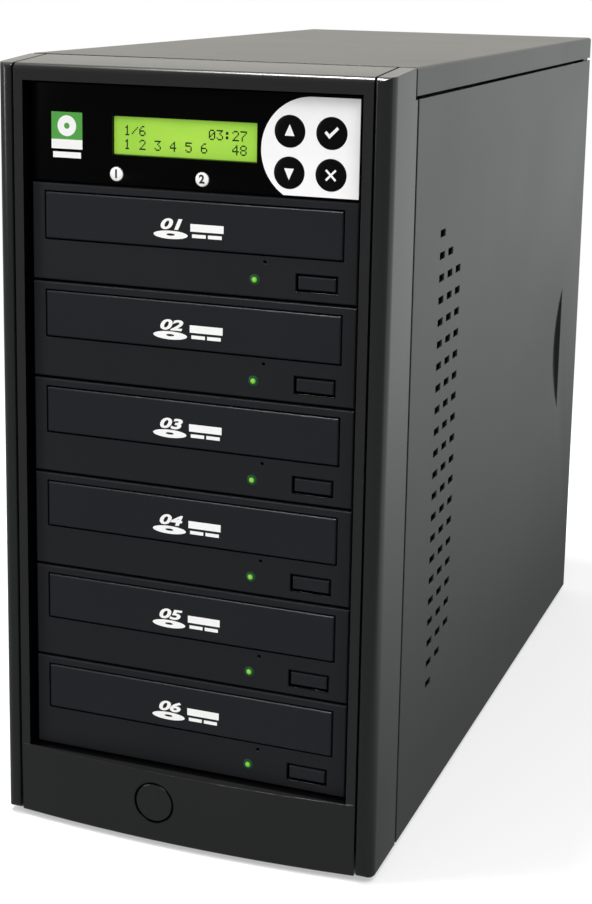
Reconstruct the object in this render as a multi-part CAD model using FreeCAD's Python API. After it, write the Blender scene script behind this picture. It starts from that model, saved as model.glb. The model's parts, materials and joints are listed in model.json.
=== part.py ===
"""A seven-bay disc duplicator tower: a controller above six tray-loading disc drives.

Millimetres. +Z is up, the front faces -Y, and the origin is the middle of the
footprint at the level of the soles of the feet. Left and right are as seen from
the front.
"""
import FreeCAD, Part
import math
import os

V = FreeCAD.Vector
ALONG_X = V(1, 0, 0)
ALONG_Y = V(0, 1, 0)
ALONG_Z = V(0, 0, 1)

# Whole case
case_depth = 395.5
foot_height = 3.0
sill_height = 32.5
head_height = 9.7
sheet = 1.0
panel_clearance = 0.3
overrun = 5.0

# Round parts have flats, which lie at most this far inside the true circle
flat_depth = 0.1
edge_match = 0.01

# Bays and the faces that fill them
bay_count = 7
bay_pitch = 43.0
bay_gap = 1.0
recess_depth = 5.0
opening_side_gap = 2.0

# Front frame, a hollow moulding round the bays
frame_depth = 31.0
frame_wall = 2.5
skirt_wall = 2.0
side_bar_width = 4.1
side_bar_depth = 14.0
centre_setback = 0.8
top_slope = 2.5
top_edge_radius = 3.0
bottom_edge_radius = 3.0
sill_overhang = 3.6
sill_foot_setback = 1.2
sill_foot_bow = 4.6

# Trim strips beside the frame
trim_groove = 1.0
trim_groove_depth = 16.0
trim_width = 7.4
trim_depth = 34.0
trim_wall = 2.2
trim_outer_radius = 6.0
trim_inner_radius = 1.0

# Power button in the sill
power_x = -12.0
power_height = 18.0
power_radius = 8.8
power_gap = 0.7
power_travel = 3.0
power_length = 14.0
power_flange = 1.5
power_flange_lip = 1.7
power_sleeve_wall = 1.8
power_bridge = 2.0
power_bridge_gap = 0.5

# Top cover and side panels, folded steel
cover_gap = 1.5
cover_lip = 11.8
cover_bend_radius = 1.5
panel_gap = 2.0
panel_top_gap = 1.4
panel_front_fold = 4.0
panel_top_fold = 6.0
panel_top_fold_end = 40.0
panel_rear_fold = 12.0
panel_fold_inset = 7.0
panel_slide = 18.0

# Air slots in the side panels: columns lose a slot at each end, going back
slot_columns = 3
slot_rows = 22
slot_length = 8.0
slot_height = 3.2
slot_column_pitch = 13.7
slot_row_pitch = 10.0
slot_first_inset = 43.6
slot_top_inset = 61.3

# Finger grip pressed into each side panel near its rear edge
grip_height = 73.0
grip_reach = 19.0
grip_depth = 3.0
grip_rear_inset = 49.5
grip_bottom = 127.0

# Chassis sheets
chassis_lip = 12.0
front_lip_height = 25.0
rear_fold = 12.0
cage_tail = 14.0
cage_clearance = 0.25
cage_flange = 11.25
cage_flange_lift = 1.0
cage_foot = 10.0
cage_flange_drop = 12.0
ledge_reach = 6.0
ledge_inset = 12.0
screw_slot_inset = 47.0
screw_slot_length = 90.0
screw_slot_width = 3.6
screw_slot_lift = 10.0

# Feet
foot_radius = 8.0
foot_edge = 0.6
foot_side_inset = 18.5
foot_front_inset = 50.0
foot_rear_inset = 32.0

# Thumbscrews that hold the side panels
screw_head_radius = 5.5
screw_head_depth = 6.0
screw_shank_radius = 1.6
screw_shank_length = 7.0
screw_slot = 1.2
screw_slot_depth = 1.5
screw_hole_clearance = 0.3
screw_side_inset = 7.5
screw_low_height = 57.0
screw_top_inset = 53.0

# Disc drive casing
drive_play = 1.7
drive_sheet = 1.0
drive_rear_room = 13.4
deck_height = 11.2
deck_thickness = 2.0
deck_inset = 8.0
hub_radius = 14.0
hub_gap = 0.7
pickup_width = 34.0
pickup_length = 24.0
pickup_height = 7.0
pickup_offset = 34.0
lens_radius = 2.5
lens_height = 1.2
plug_width = 38.0
plug_height = 6.0
plug_reach = 3.0
plug_lift = 4.0

# Disc drive front
bezel_thickness = 5.0
bezel_overlap = 1.0
bezel_edge = 0.5
tray_front_overlap = 4.4
tray_front_lift = 18.1
tray_front_drop = 3.9
tray_front_gap = 0.65
tray_front_proud = 0.4
tray_front_edge = 0.5
led_inset = 44.7
led_lift = 7.4
led_radius = 1.4
led_clearance = 0.1
led_proud = 0.3
led_length = 9.0
led_collar = 0.9
led_collar_depth = 1.0
pin_hole_inset = 40.3
pin_hole_lift = 15.0
pin_hole_radius = 0.8
eject_inset = 17.5
eject_lift = 4.7
eject_width = 16.4
eject_height = 5.8
eject_gap = 0.75
eject_travel = 1.0
eject_stem = 0.3
eject_flange = 1.0
eject_flange_lip = 1.4

# Disc tray
tray_tail = 28.8
tray_thickness = 6.5
tray_drop = 5.4
tray_edge_width = 2.5
tray_edge_thickness = 2.5
tray_corner = 9.0
disc_radius = 60.0
disc_play = 0.3
disc_front_wall = 2.6
disc_side_wall = 2.7
disc_recess = 2.3
small_disc_radius = 41.0
small_disc_recess = 1.0
window_half_width = 20.0
window_rear_wall = 14.0
rail_wall = 2.5
rail_width = 8.5
rail_gap = 0.3
rail_side_gap = 0.5
tray_hold = 14.0

# Controller in the top bay
plate_thickness = 3.0
window_key_gap = 7.8
window_lift = 20.75
window_width = 65.4
window_height = 16.3
key_radius = 6.4
key_gap = 0.25
key_proud = 0.2
key_inset = 12.3
key_low_lift = 9.5
key_pitch_x = 17.9
key_pitch_z = 16.8
small_key_radius = 3.0
small_key_inset = 2.0
small_key_pitch = 39.2
small_key_lift = 4.5
key_flange = 1.0
key_flange_lip = 0.5
key_flange_gap = 0.3
key_stem_share = 0.45
key_travel = 0.5
key_switch_gap = 0.2
board_gap = 11.0
board_thickness = 1.6
board_side_gap = 0.5
board_lift = 2.5
board_play = 5.3
boss_radius = 1.8
boss_flat_count = 6
boss_inset = 2.0
switch_size = 6.0
switch_depth = 3.5
plunger_width = 3.2
plunger_length = 1.6
chip_width = 14.0
chip_depth = 1.8
chip_pitch = 30.0
header_width = 50.0
header_height = 6.0
header_depth = 8.0
controller_depth = 95.0
display_frame_lip = 4.0
display_frame_depth = 6.5
display_glass_gap = 0.4
display_board_lip = 3.0
display_recess = 1.2

# Power supply box
supply_side_inset = 13.5
supply_depth = 140.0
supply_top_gap = 0.7
supply_window_rim = 5.0
supply_window_corner = 12.0
supply_fan_inset = 45.0
supply_fan_room = 2.0
inlet_side_inset = 32.0
inlet_drop = 28.5
rocker_inlet_gap = 5.8
air_slot_count = 6
air_slot_width = 3.0
air_slot_length = 56.0
air_slot_pitch = 8.0
lead_hole_radius = 9.0
lead_hole_inset = 25.0

# Mains inlet
inlet_flange_width = 31.0
inlet_flange_height = 25.0
inlet_flange_depth = 2.0
inlet_body_width = 27.6
inlet_body_height = 20.2
inlet_cavity_width = 24.2
inlet_cavity_height = 16.4
inlet_cavity_depth = 15.0
inlet_cavity_corner = 3.5
inlet_floor = 2.0
inlet_corner = 2.0
blade_width = 2.0
blade_height = 4.0
blade_length = 12.0
blade_spacing = 14.0
blade_offset = 2.0
cutout_clearance = 0.2

# Mains rocker switch
rocker_width = 10.6
rocker_reach = 8.0
rocker_crown = 2.6
rocker_valley = 1.3
rocker_back = 3.0
rocker_tilt_deg = 8.0
rocker_side_gap = 0.4
rocker_end_gap = 0.35
rocker_pin_radius = 1.0
rocker_pin_length = 0.9
rocker_pin_clearance = 0.05
rocker_frame_rim = 1.7
rocker_frame_depth = 10.0
rocker_flange_depth = 1.5
rocker_flange_rim = 1.2
rocker_pivot_depth = 1.2
rocker_floor = 1.5

# Fans, one behind the rear panel and one in the power supply
fan_size = 80.0
fan_depth = 25.0
fan_wall = 2.0
fan_hole_inset = 4.25
fan_hole_radius = 2.2
fan_hole_flat_count = 8
fan_notch = 14.0
fan_strut_width = 4.0
fan_strut_depth = 3.0
fan_hub_radius = 17.0
fan_hub_wall = 1.5
fan_hub_gap = 0.6
fan_rear_gap = 2.0
fan_blade_count = 7
fan_blade_thickness = 1.4
fan_blade_camber = 1.6
fan_blade_tip_gap = 1.0
fan_blade_root_chord = 18.0
fan_blade_tip_chord = 23.0
fan_blade_root_deg = 48.0
fan_blade_tip_deg = 34.0
fan_shaft_radius = 1.5
fan_shaft_clearance = 0.05
fan_sleeve_radius = 4.0
fan_shaft_end_gap = 0.3
case_fan_height = 150.0

# Stamped guard over each fan
guard_rings = 4
guard_flat_count = 24
guard_bar = 2.2
guard_spokes = 4
guard_centre_radius = 9.0

# Sizes that follow from the disc, outwards to the case, and from the bay's height
disc_well_radius = disc_radius + disc_play
tray_half = disc_well_radius + disc_side_wall
tray_length = disc_front_wall + disc_well_radius * 2 + tray_tail
tray_travel = tray_length - tray_hold
drive_width = (tray_half + rail_side_gap + rail_width + drive_sheet) * 2
drive_height = bay_pitch - drive_play
drive_depth = bezel_thickness - tray_front_proud + tray_length + drive_rear_room
face_width = drive_width + bezel_overlap * 2
face_height = bay_pitch - bay_gap
tray_front_width = (tray_half + tray_front_overlap) * 2
tray_front_height = face_height - tray_front_lift - tray_front_drop
board_height = drive_height - board_play
opening_half = face_width / 2 + opening_side_gap
centre_half = opening_half + side_bar_width
trim_inner_x = centre_half + trim_groove
half_width = trim_inner_x + trim_width

# Places that follow from the sizes
overall_depth = sill_overhang + case_depth + screw_head_depth
front_y = sill_overhang - overall_depth / 2
rear_y = front_y + case_depth
face_y = front_y + recess_depth
frame_rear_y = front_y + frame_depth
cover_front_y = frame_rear_y + cover_gap
panel_front_y = front_y + trim_depth + panel_gap

bottom_z = foot_height
opening_bottom_z = bottom_z + sill_height
opening_top_z = opening_bottom_z + bay_count * bay_pitch
top_z = opening_top_z + head_height
panel_top_z = top_z - cover_lip - panel_top_gap

chassis_half = half_width - sheet - panel_clearance
floor_z = bottom_z + sheet
roof_z = top_z - sheet
rear_outer_y = rear_y - sheet - panel_clearance
rear_inner_y = rear_outer_y - sheet
cage_inner_x = drive_width / 2 + cage_clearance
cage_outer_x = cage_inner_x + sheet
cage_front_y = frame_rear_y
cage_rear_y = face_y + drive_depth + cage_tail

drive_count = bay_count - 1
housing_lift = (bay_pitch - drive_height) / 2
drive_front_y = face_y + bezel_thickness
tray_front_y = face_y + bezel_thickness - tray_front_proud
tray_rear_y = tray_front_y + tray_length
tray_lift = bay_gap / 2 + tray_front_lift + tray_drop
led_x = face_width / 2 - led_inset
pin_hole_x = face_width / 2 - pin_hole_inset
eject_x = face_width / 2 - eject_inset
disc_centre_y = tray_front_y + disc_front_wall + disc_well_radius

power_z = bottom_z + power_height
right_key_x = face_width / 2 - key_inset
left_key_x = right_key_x - key_pitch_x
window_x = left_key_x - key_radius - window_key_gap - window_width / 2
small_key_x = window_x - window_width / 2 + small_key_inset
board_front_y = face_y + plate_thickness + board_gap

fan_bore_radius = fan_size / 2 - fan_wall
supply_half = half_width - supply_side_inset
supply_height = fan_size + (sheet + supply_fan_room) * 2
supply_fan_x = supply_half - supply_fan_inset
inlet_x = -supply_half + inlet_side_inset
lead_hole_x = -supply_half + lead_hole_inset
supply_top_z = roof_z - sheet - supply_top_gap
supply_bottom_z = supply_top_z - supply_height
supply_front_y = rear_inner_y - supply_depth
supply_fan_z = supply_bottom_z + supply_height / 2
case_fan_z = bottom_z + case_fan_height


def block(x0, x1, y0, y1, z0, z1):
    """A box between two corners."""
    return Part.makeBox(x1 - x0, y1 - y0, z1 - z0, V(x0, y0, z0))


def journal(x, z, y0, y1, radius):
    """A truly round bar along Y, for shafts and the bores that they turn in."""
    return Part.makeCylinder(radius, y1 - y0, V(x, y0, z), ALONG_Y)


def mirrored(shape):
    """The same shape on the other side of the case."""
    return shape.mirror(V(0, 0, 0), ALONG_X)


def closed_wire(entries, place):
    """A closed wire: each entry is a corner, or a pair (middle, end) for an arc."""
    edges = []
    here = place(*entries[0])
    for entry in entries[1:] + [entries[0]]:
        if isinstance(entry[0], tuple):
            there = place(*entry[1])
            edges.append(Part.Arc(here, place(*entry[0]), there).toShape())
        else:
            there = place(*entry)
            edges.append(Part.LineSegment(here, there).toShape())
        here = there
    return Part.Wire(edges)


def side_prism(entries, x0, x1):
    """A prism along X from an outline of (y, z) places."""
    wire = closed_wire(entries, lambda y, z: V(x0, y, z))
    return Part.Face(wire).extrude(V(x1 - x0, 0, 0))


def plan_prism(entries, z0, z1):
    """A prism along Z from an outline of (x, y) places."""
    wire = closed_wire(entries, lambda x, y: V(x, y, z0))
    return Part.Face(wire).extrude(V(0, 0, z1 - z0))


def front_prism(entries, y0, y1):
    """A prism along Y from an outline of (x, z) places."""
    wire = closed_wire(entries, lambda x, z: V(x, y0, z))
    return Part.Face(wire).extrude(V(0, y1 - y0, 0))


def round_outline(a, b, radius, flats=0):
    """The corners of a many-sided outline that stands for a circle."""
    if not flats:
        flats = 4 * math.ceil(math.pi / math.acos(1 - flat_depth / radius) / 4)
    return [arc_middle((a, b), radius, index * 360.0 / flats) for index in range(flats)]


def rod_y(x, z, y0, y1, radius, flats=0):
    """A round bar along Y."""
    return front_prism(round_outline(x, z, radius, flats), y0, y1)


def rod_z(x, y, z0, z1, radius):
    """A round bar along Z."""
    return plan_prism(round_outline(x, y, radius), z0, z1)


def arc_middle(centre, radius, angle_deg):
    """A point on a circle in an outline's plane."""
    angle = math.radians(angle_deg)
    return (centre[0] + radius * math.cos(angle), centre[1] + radius * math.sin(angle))


def front_edges(shape, y):
    """The edges of a shape that lie in the plane at y."""
    found = []
    for edge in shape.Edges:
        if all(abs(vertex.Y - y) < edge_match for vertex in edge.Vertexes):
            found.append(edge)
    return found


def long_edges(shape, axis):
    """The straight edges of a shape that run along an axis."""
    found = []
    for edge in shape.Edges:
        if len(edge.Vertexes) == 2:
            run = edge.Vertexes[1].Point - edge.Vertexes[0].Point
            if run.cross(axis).Length < edge_match:
                found.append(edge)
    return found


def bay_floor(index):
    """The lower end of a bay, counted from the lowest."""
    return opening_bottom_z + index * bay_pitch


# Front frame

def head_profile(y_front, y_rear, drop):
    """The side view of the front: a face with round ends, and a slope going back at its top."""
    rise = top_slope / frame_depth
    tilt_deg = math.degrees(math.atan(rise))
    z_edge = top_z - drop - top_slope
    centre = (y_front + top_edge_radius, z_edge - top_edge_radius)
    turn = (90.0 + tilt_deg + 180.0) / 2
    end = arc_middle(centre, top_edge_radius, 90.0 + tilt_deg)
    foot = (y_front + bottom_edge_radius, bottom_z + bottom_edge_radius)
    return [
        (y_rear, bottom_z),
        (foot[0], bottom_z),
        (arc_middle(foot, bottom_edge_radius, 225.0), (y_front, foot[1])),
        (y_front, centre[1]),
        (arc_middle(centre, top_edge_radius, turn), end),
        (y_rear, end[1] + (y_rear - end[0]) * rise),
    ]


def sill_wire(z, y_end, y_middle, half, y_back):
    """A level section of the bowed sill."""
    return closed_wire(
        [(half, y_back), (-half, y_back), (-half, y_end), ((0, y_middle), (half, y_end))],
        lambda x, y: V(x, y, z),
    )


def sill_solid(inset):
    """The sill's outer form, or its hollow when inset by a wall."""
    half = centre_half - inset
    back = frame_rear_y + (overrun if inset else 0)
    low = bottom_z + inset
    high = opening_bottom_z - inset
    lean = sill_foot_setback - centre_setback
    middle_lean = sill_foot_setback - sill_foot_bow + sill_overhang
    low_share = inset / sill_height
    sections = []
    for z, share in ((low, 1 - low_share), (high, low_share)):
        y_end = front_y + centre_setback + lean * share + inset
        y_middle = front_y - sill_overhang + middle_lean * share + inset
        sections.append(sill_wire(z, y_end, y_middle, half, back))
    return Part.makeLoft(sections, True, True)


def power_sleeve_y():
    """Where the button's guide sleeve ends, just ahead of the button's flange."""
    return front_y + power_length - power_bridge_gap


def front_bezel():
    """The moulded frame: bars beside the bays, a hollow head and a hollow bowed sill."""
    face = front_y + centre_setback
    outer = side_prism(head_profile(face, frame_rear_y, 0), -centre_half, centre_half)
    outer = outer.cut(block(-half_width, half_width, face - overrun, frame_rear_y + overrun,
                            bottom_z - overrun, opening_bottom_z))
    outer = outer.fuse(sill_solid(0))
    inner_half = centre_half - skirt_wall
    opening = block(-opening_half, opening_half, front_y - recess_depth, frame_rear_y + overrun,
                    opening_bottom_z, opening_top_z)
    behind = block(-inner_half, inner_half, front_y + side_bar_depth, frame_rear_y + overrun,
                   opening_bottom_z, opening_top_z + skirt_wall)
    head = side_prism(head_profile(face + frame_wall, frame_rear_y + overrun, frame_wall),
                      -inner_half, inner_half)
    head = head.common(block(-inner_half, inner_half, front_y, frame_rear_y + overrun,
                             opening_top_z + skirt_wall, top_z))
    shell = outer.cut([opening, behind, head, sill_solid(frame_wall)])

    well_radius = power_radius + power_gap
    sleeve = rod_y(power_x, power_z, front_y - sill_overhang, power_sleeve_y(),
                   well_radius + power_sleeve_wall)
    bridge_y = front_y + power_length + power_flange + power_travel + power_bridge_gap
    bridge = block(power_x - well_radius, power_x + well_radius, bridge_y, bridge_y + power_bridge,
                   bottom_z + frame_wall, opening_bottom_z - frame_wall)
    shell = shell.fuse([sleeve.common(sill_solid(0)), bridge])
    well = rod_y(power_x, power_z, front_y - overrun - sill_overhang, power_sleeve_y() + overrun / 2,
                 well_radius)
    return shell.cut(well.cut(bridge)).removeSplitter()


def power_button():
    """A round button flush with the bowed sill, kept in its sleeve by a rear flange."""
    end = front_y + power_length
    cap = rod_y(power_x, power_z, front_y - sill_overhang - overrun, end, power_radius)
    cap = cap.common(sill_solid(0))
    flange = rod_y(power_x, power_z, end, end + power_flange, power_radius + power_flange_lip)
    return cap.fuse(flange).removeSplitter()


def trim_strip():
    """The right strip: a hollow channel with a round nose and a lip that closes its groove."""
    x0 = trim_inner_x
    x1 = half_width
    y1 = front_y + trim_depth
    inner_centre = (x0 + trim_inner_radius, front_y + trim_inner_radius)
    outer_centre = (x1 - trim_outer_radius, front_y + trim_outer_radius)
    strip = plan_prism([
        (x0, y1),
        (x0, inner_centre[1]),
        (arc_middle(inner_centre, trim_inner_radius, 225.0), (inner_centre[0], front_y)),
        (outer_centre[0], front_y),
        (arc_middle(outer_centre, trim_outer_radius, 315.0), (x1, outer_centre[1])),
        (x1, y1),
    ], bottom_z, top_z)
    hollow = block(x0 + trim_wall, x1 - trim_wall, outer_centre[1], y1 + overrun,
                   bottom_z + trim_wall, top_z - top_slope - trim_wall)
    inner_end = block(x0 - overrun, x0 + trim_wall, frame_rear_y, y1 + overrun,
                      bottom_z - overrun, top_z + overrun)
    cover_room = block(x0 - overrun, x1 + overrun, frame_rear_y, y1 + overrun,
                       panel_top_z, top_z + overrun)
    rear_end = block(x0, x1 - trim_wall, frame_rear_y, y1 + overrun, bottom_z - overrun, top_z)
    lip = block(centre_half, x0, front_y + trim_groove_depth, frame_rear_y,
                bottom_z + trim_wall, panel_top_z)
    strip = strip.common(side_prism(head_profile(front_y, y1, 0), x0 - overrun, x1 + overrun))
    strip = strip.cut([hollow, inner_end, cover_room, rear_end])
    return strip.fuse(lip).removeSplitter()


# Steel case

def base_plate():
    """The floor sheet, with folded lips at the sides and a tall lip behind the sill."""
    y0 = cage_front_y
    y1 = rear_inner_y
    lip_half = cage_outer_x + cage_flange
    floor = block(-chassis_half, chassis_half, panel_front_y, y1, bottom_z, floor_z)
    nose = block(-lip_half, lip_half, y0, panel_front_y, bottom_z, floor_z)
    lip_front = panel_front_y + sheet + panel_slide + panel_clearance
    sides = [
        block(x, x + sheet, lip_front, y1 - rear_fold - panel_clearance,
              floor_z, floor_z + chassis_lip)
        for x in (-chassis_half, chassis_half - sheet)
    ]
    front = block(-lip_half, lip_half, y0, y0 + sheet, floor_z, floor_z + front_lip_height)
    return floor.fuse(sides + [nose, front]).removeSplitter()


def rear_panel():
    """The rear sheet, a shallow pan with a power supply window and a stamped fan guard."""
    pan = block(-chassis_half, chassis_half, rear_outer_y - rear_fold, rear_outer_y, floor_z, roof_z)
    room = block(-chassis_half + sheet, chassis_half - sheet, rear_outer_y - rear_fold - overrun,
                 rear_inner_y, floor_z + sheet, roof_z - sheet)
    half = supply_half - supply_window_rim
    low = supply_bottom_z + supply_window_rim
    high = supply_top_z - supply_window_rim
    corner = supply_window_corner
    window = front_prism([
        (half - corner, low), (half, low + corner), (half, high - corner), (half - corner, high),
        (-half + corner, high), (-half, high - corner), (-half, low + corner), (-half + corner, low),
    ], rear_inner_y - overrun, rear_outer_y + overrun)
    cuts = [room, window]
    cuts += guard_cuts(0, case_fan_z, rear_inner_y - overrun, rear_outer_y + overrun)
    cuts += fan_holes(0, case_fan_z, rear_inner_y - overrun, rear_outer_y + overrun)
    for side in (-1, 1):
        for z in screw_levels():
            cuts.append(rod_y(side * screw_x(), z, rear_inner_y - overrun, rear_outer_y + overrun,
                              screw_shank_radius + screw_hole_clearance))
    return pan.cut(cuts)


def bay_cage():
    """Two perforated walls and a roof from one sheet, with ledges that the drives lie on."""
    walls = block(-cage_outer_x, cage_outer_x, cage_front_y, cage_rear_y, floor_z, roof_z)
    room = block(-cage_inner_x, cage_inner_x, cage_front_y - overrun, cage_rear_y + overrun,
                 floor_z - overrun, roof_z - sheet)
    cage = walls.cut(room)
    flange_x = cage_outer_x + cage_flange
    flange_low = floor_z + front_lip_height + cage_flange_lift
    added = []
    for side in (-1, 1):
        inner, outer = sorted((side * cage_outer_x, side * flange_x))
        added.append(block(inner, outer, cage_front_y, cage_front_y + sheet,
                           flange_low, panel_top_z - cage_flange_drop))
        inner, outer = sorted((side * cage_outer_x, side * (cage_outer_x + cage_foot)))
        added.append(block(inner, outer, cage_front_y + sheet + ledge_inset, cage_rear_y,
                           floor_z, floor_z + sheet))
        inner, outer = sorted((side * cage_inner_x, side * (cage_inner_x - ledge_reach)))
        for index in range(bay_count):
            top = bay_floor(index) + housing_lift
            added.append(block(inner, outer, cage_front_y + ledge_inset, cage_rear_y - ledge_inset,
                               top - sheet, top))
    cage = cage.fuse(added)
    cuts = [block(-cage_outer_x, cage_outer_x, cage_front_y - overrun, cage_front_y + sheet,
                  floor_z - overrun, floor_z + front_lip_height + cage_flange_lift)]
    reach = cage_outer_x + overrun
    y = face_y + screw_slot_inset
    for index in range(bay_count):
        z = bay_floor(index) + housing_lift + screw_slot_lift
        cuts.append(block(-reach, reach, y, y + screw_slot_length,
                          z - screw_slot_width / 2, z + screw_slot_width / 2))
    return cage.cut(cuts).removeSplitter()


def top_cover():
    """A shallow folded lid with lips at the sides and the rear."""
    lid = block(-half_width, half_width, cover_front_y, rear_y, top_z - cover_lip, top_z)
    ridge = [edge for edge in long_edges(lid, ALONG_Y) if edge.Vertexes[0].Z > roof_z]
    ridge += [edge for edge in long_edges(lid, ALONG_X)
              if edge.Vertexes[0].Z > roof_z and edge.Vertexes[0].Y > rear_outer_y]
    lid = lid.makeFillet(cover_bend_radius, ridge)
    room = block(-half_width + sheet, half_width - sheet, cover_front_y - overrun, rear_y - sheet,
                 top_z - cover_lip - overrun, roof_z)
    return lid.cut(room)


def screw_levels():
    """The heights of the thumbscrews."""
    return (bottom_z + screw_low_height, panel_top_z - screw_top_inset)


def screw_x():
    """How far out the thumbscrews stand."""
    return half_width - screw_side_inset


def grip_ball(shell):
    """The ball whose surface forms the grip, grown by shell for the back of the pressing."""
    circle = (grip_height * grip_height / 4 + grip_reach * grip_reach) / (2 * grip_reach)
    edge = circle - grip_reach
    ball = (circle * circle - edge * edge) / (2 * grip_depth)
    y_edge = rear_y - grip_rear_inset
    centre = V(half_width + math.sqrt(ball * ball - circle * circle), y_edge + edge,
               bottom_z + grip_bottom + grip_height / 2)
    reach = grip_height + overrun
    outer_x = half_width if shell else half_width + overrun
    keep = block(half_width - sheet - grip_depth - overrun, outer_x, y_edge - reach,
                 y_edge + shell, centre.z - reach, centre.z + reach)
    return Part.makeSphere(ball + shell, centre).common(keep)


def side_panel():
    """The right panel: a sheet with folded edges, air slots and a pressed finger grip."""
    skin = half_width - sheet
    sheet_face = block(skin, half_width, panel_front_y, rear_y, bottom_z, panel_top_z)
    low = bottom_z + panel_fold_inset
    high = panel_top_z - panel_fold_inset
    front = block(half_width - panel_front_fold, skin, panel_front_y, panel_front_y + sheet, low, high)
    top = block(half_width - panel_top_fold, skin, panel_front_y + panel_fold_inset,
                rear_y - panel_top_fold_end, panel_top_z - sheet, panel_top_z)
    rear = block(half_width - panel_rear_fold, skin, rear_y - sheet, rear_y, low, high)
    panel = sheet_face.fuse([front, top, rear, grip_ball(sheet)])
    cuts = [grip_ball(0)]
    first_y = panel_front_y + slot_first_inset
    first_z = panel_top_z - slot_top_inset
    for column in range(slot_columns):
        for row in range(column, slot_rows - column):
            y = first_y + column * slot_column_pitch
            z = first_z - row * slot_row_pitch
            cuts.append(block(skin - overrun, half_width + overrun,
                              y - slot_length / 2, y + slot_length / 2,
                              z - slot_height / 2, z + slot_height / 2))
    for z in screw_levels():
        cuts.append(rod_y(screw_x(), z, rear_y - overrun, rear_y + overrun,
                          screw_shank_radius + screw_hole_clearance))
    return panel.cut(cuts).removeSplitter()


def thumbscrew(x, z):
    """A slotted thumbscrew, seated on the panel's rear fold."""
    head = rod_y(x, z, rear_y, rear_y + screw_head_depth, screw_head_radius)
    slot = block(x - screw_head_radius - overrun, x + screw_head_radius + overrun,
                 rear_y + screw_head_depth - screw_slot_depth, rear_y + screw_head_depth + overrun,
                 z - screw_slot / 2, z + screw_slot / 2)
    shank = rod_y(x, z, rear_y - screw_shank_length, rear_y, screw_shank_radius)
    return head.cut(slot).fuse(shank)


def foot_places():
    """The middles of the four feet."""
    x = half_width - foot_side_inset
    return [(side * x, y) for side in (-1, 1)
            for y in (front_y + foot_front_inset, rear_y - foot_rear_inset)]


def rubber_foot(x, y):
    """A round foot, stuck to the floor sheet, with a bevelled sole."""
    rings = []
    for z, radius in ((0, foot_radius - foot_edge), (foot_edge, foot_radius), (bottom_z, foot_radius)):
        flats = len(round_outline(x, y, foot_radius))
        corners = [V(a, b, z) for a, b in round_outline(x, y, radius, flats)]
        rings.append(Part.makePolygon(corners + [corners[0]]))
    return Part.makeLoft(rings, True, True)


# Disc drives

def drive_housing(z0):
    """A drive's casing with the loader frame inside: guide rails, deck, disc hub and pickup."""
    low = z0 + housing_lift
    high = low + drive_height
    half = drive_width / 2
    rear = face_y + drive_depth
    inner = half - drive_sheet
    shell = block(-half, half, drive_front_y, rear, low, high)
    room = block(-inner, inner, drive_front_y - overrun, rear - drive_sheet,
                 low + drive_sheet, high - drive_sheet)
    shell = shell.cut(room)

    tray_z = z0 + tray_lift
    edge_z = tray_z + (tray_thickness - tray_edge_thickness) / 2
    groove_low = edge_z - rail_gap
    groove_high = edge_z + tray_edge_thickness + rail_gap
    rail_x = tray_half + rail_side_gap
    added = []
    grooves = []
    for side in (-1, 1):
        x0, x1 = sorted((side * rail_x, side * inner))
        added.append(block(x0, x1, drive_front_y, rear - drive_sheet,
                           groove_low - rail_wall, groove_high + rail_wall))
        groove_x = tray_half + tray_edge_width + rail_side_gap
        x0, x1 = sorted((side * (rail_x - overrun), side * groove_x))
        grooves.append(block(x0, x1, drive_front_y - overrun, tray_rear_y + rail_side_gap,
                             groove_low, groove_high))
    deck_low = low + deck_height
    deck_top = deck_low + deck_thickness
    added.append(block(-inner, inner, drive_front_y + deck_inset, rear - drive_sheet,
                       deck_low, deck_top))
    added.append(rod_z(0, disc_centre_y, deck_top, tray_z - hub_gap, hub_radius))
    pickup_y = disc_centre_y + pickup_offset
    pickup_top = deck_top + pickup_height
    added.append(block(-pickup_width / 2, pickup_width / 2, pickup_y - pickup_length / 2,
                       pickup_y + pickup_length / 2, deck_top, pickup_top))
    added.append(rod_z(0, pickup_y, pickup_top, pickup_top + lens_height, lens_radius))
    added.append(block(-plug_width / 2, plug_width / 2, rear, rear + plug_reach,
                       low + plug_lift, low + plug_lift + plug_height))
    return shell.fuse(added).cut(grooves).removeSplitter()


def drive_bezel(z0):
    """A drive's front: the tray slot, the eject button's hole, the lamp's and the pin hole."""
    low = z0 + bay_gap / 2
    plate = block(-face_width / 2, face_width / 2, face_y, drive_front_y, low, low + face_height)
    plate = plate.makeChamfer(bezel_edge, front_edges(plate, face_y))
    y0 = face_y - overrun
    y1 = drive_front_y + overrun
    slot_half = tray_front_width / 2 + tray_front_gap
    slot = block(-slot_half, slot_half, y0, y1, low + tray_front_lift - tray_front_gap,
                 low + tray_front_lift + tray_front_height + tray_front_gap)
    eject_half = eject_width / 2 + eject_gap
    eject = block(eject_x - eject_half, eject_x + eject_half, y0, y1,
                  low + eject_lift - eject_gap, low + eject_lift + eject_height + eject_gap)
    lamp = rod_y(led_x, low + led_lift, y0, y1, led_radius + led_clearance)
    pin = rod_y(pin_hole_x, low + pin_hole_lift, y0, y1, pin_hole_radius)
    return plate.cut([slot, eject, lamp, pin])


def drive_lamp(z0):
    """A light pipe whose square collar seats behind the drive's front."""
    z = z0 + bay_gap / 2 + led_lift
    pipe = rod_y(led_x, z, face_y - led_proud, face_y + led_length, led_radius)
    half = led_radius + led_collar
    collar = block(led_x - half, led_x + half, drive_front_y, drive_front_y + led_collar_depth,
                   z - half, z + half)
    return pipe.fuse(collar)


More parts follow.
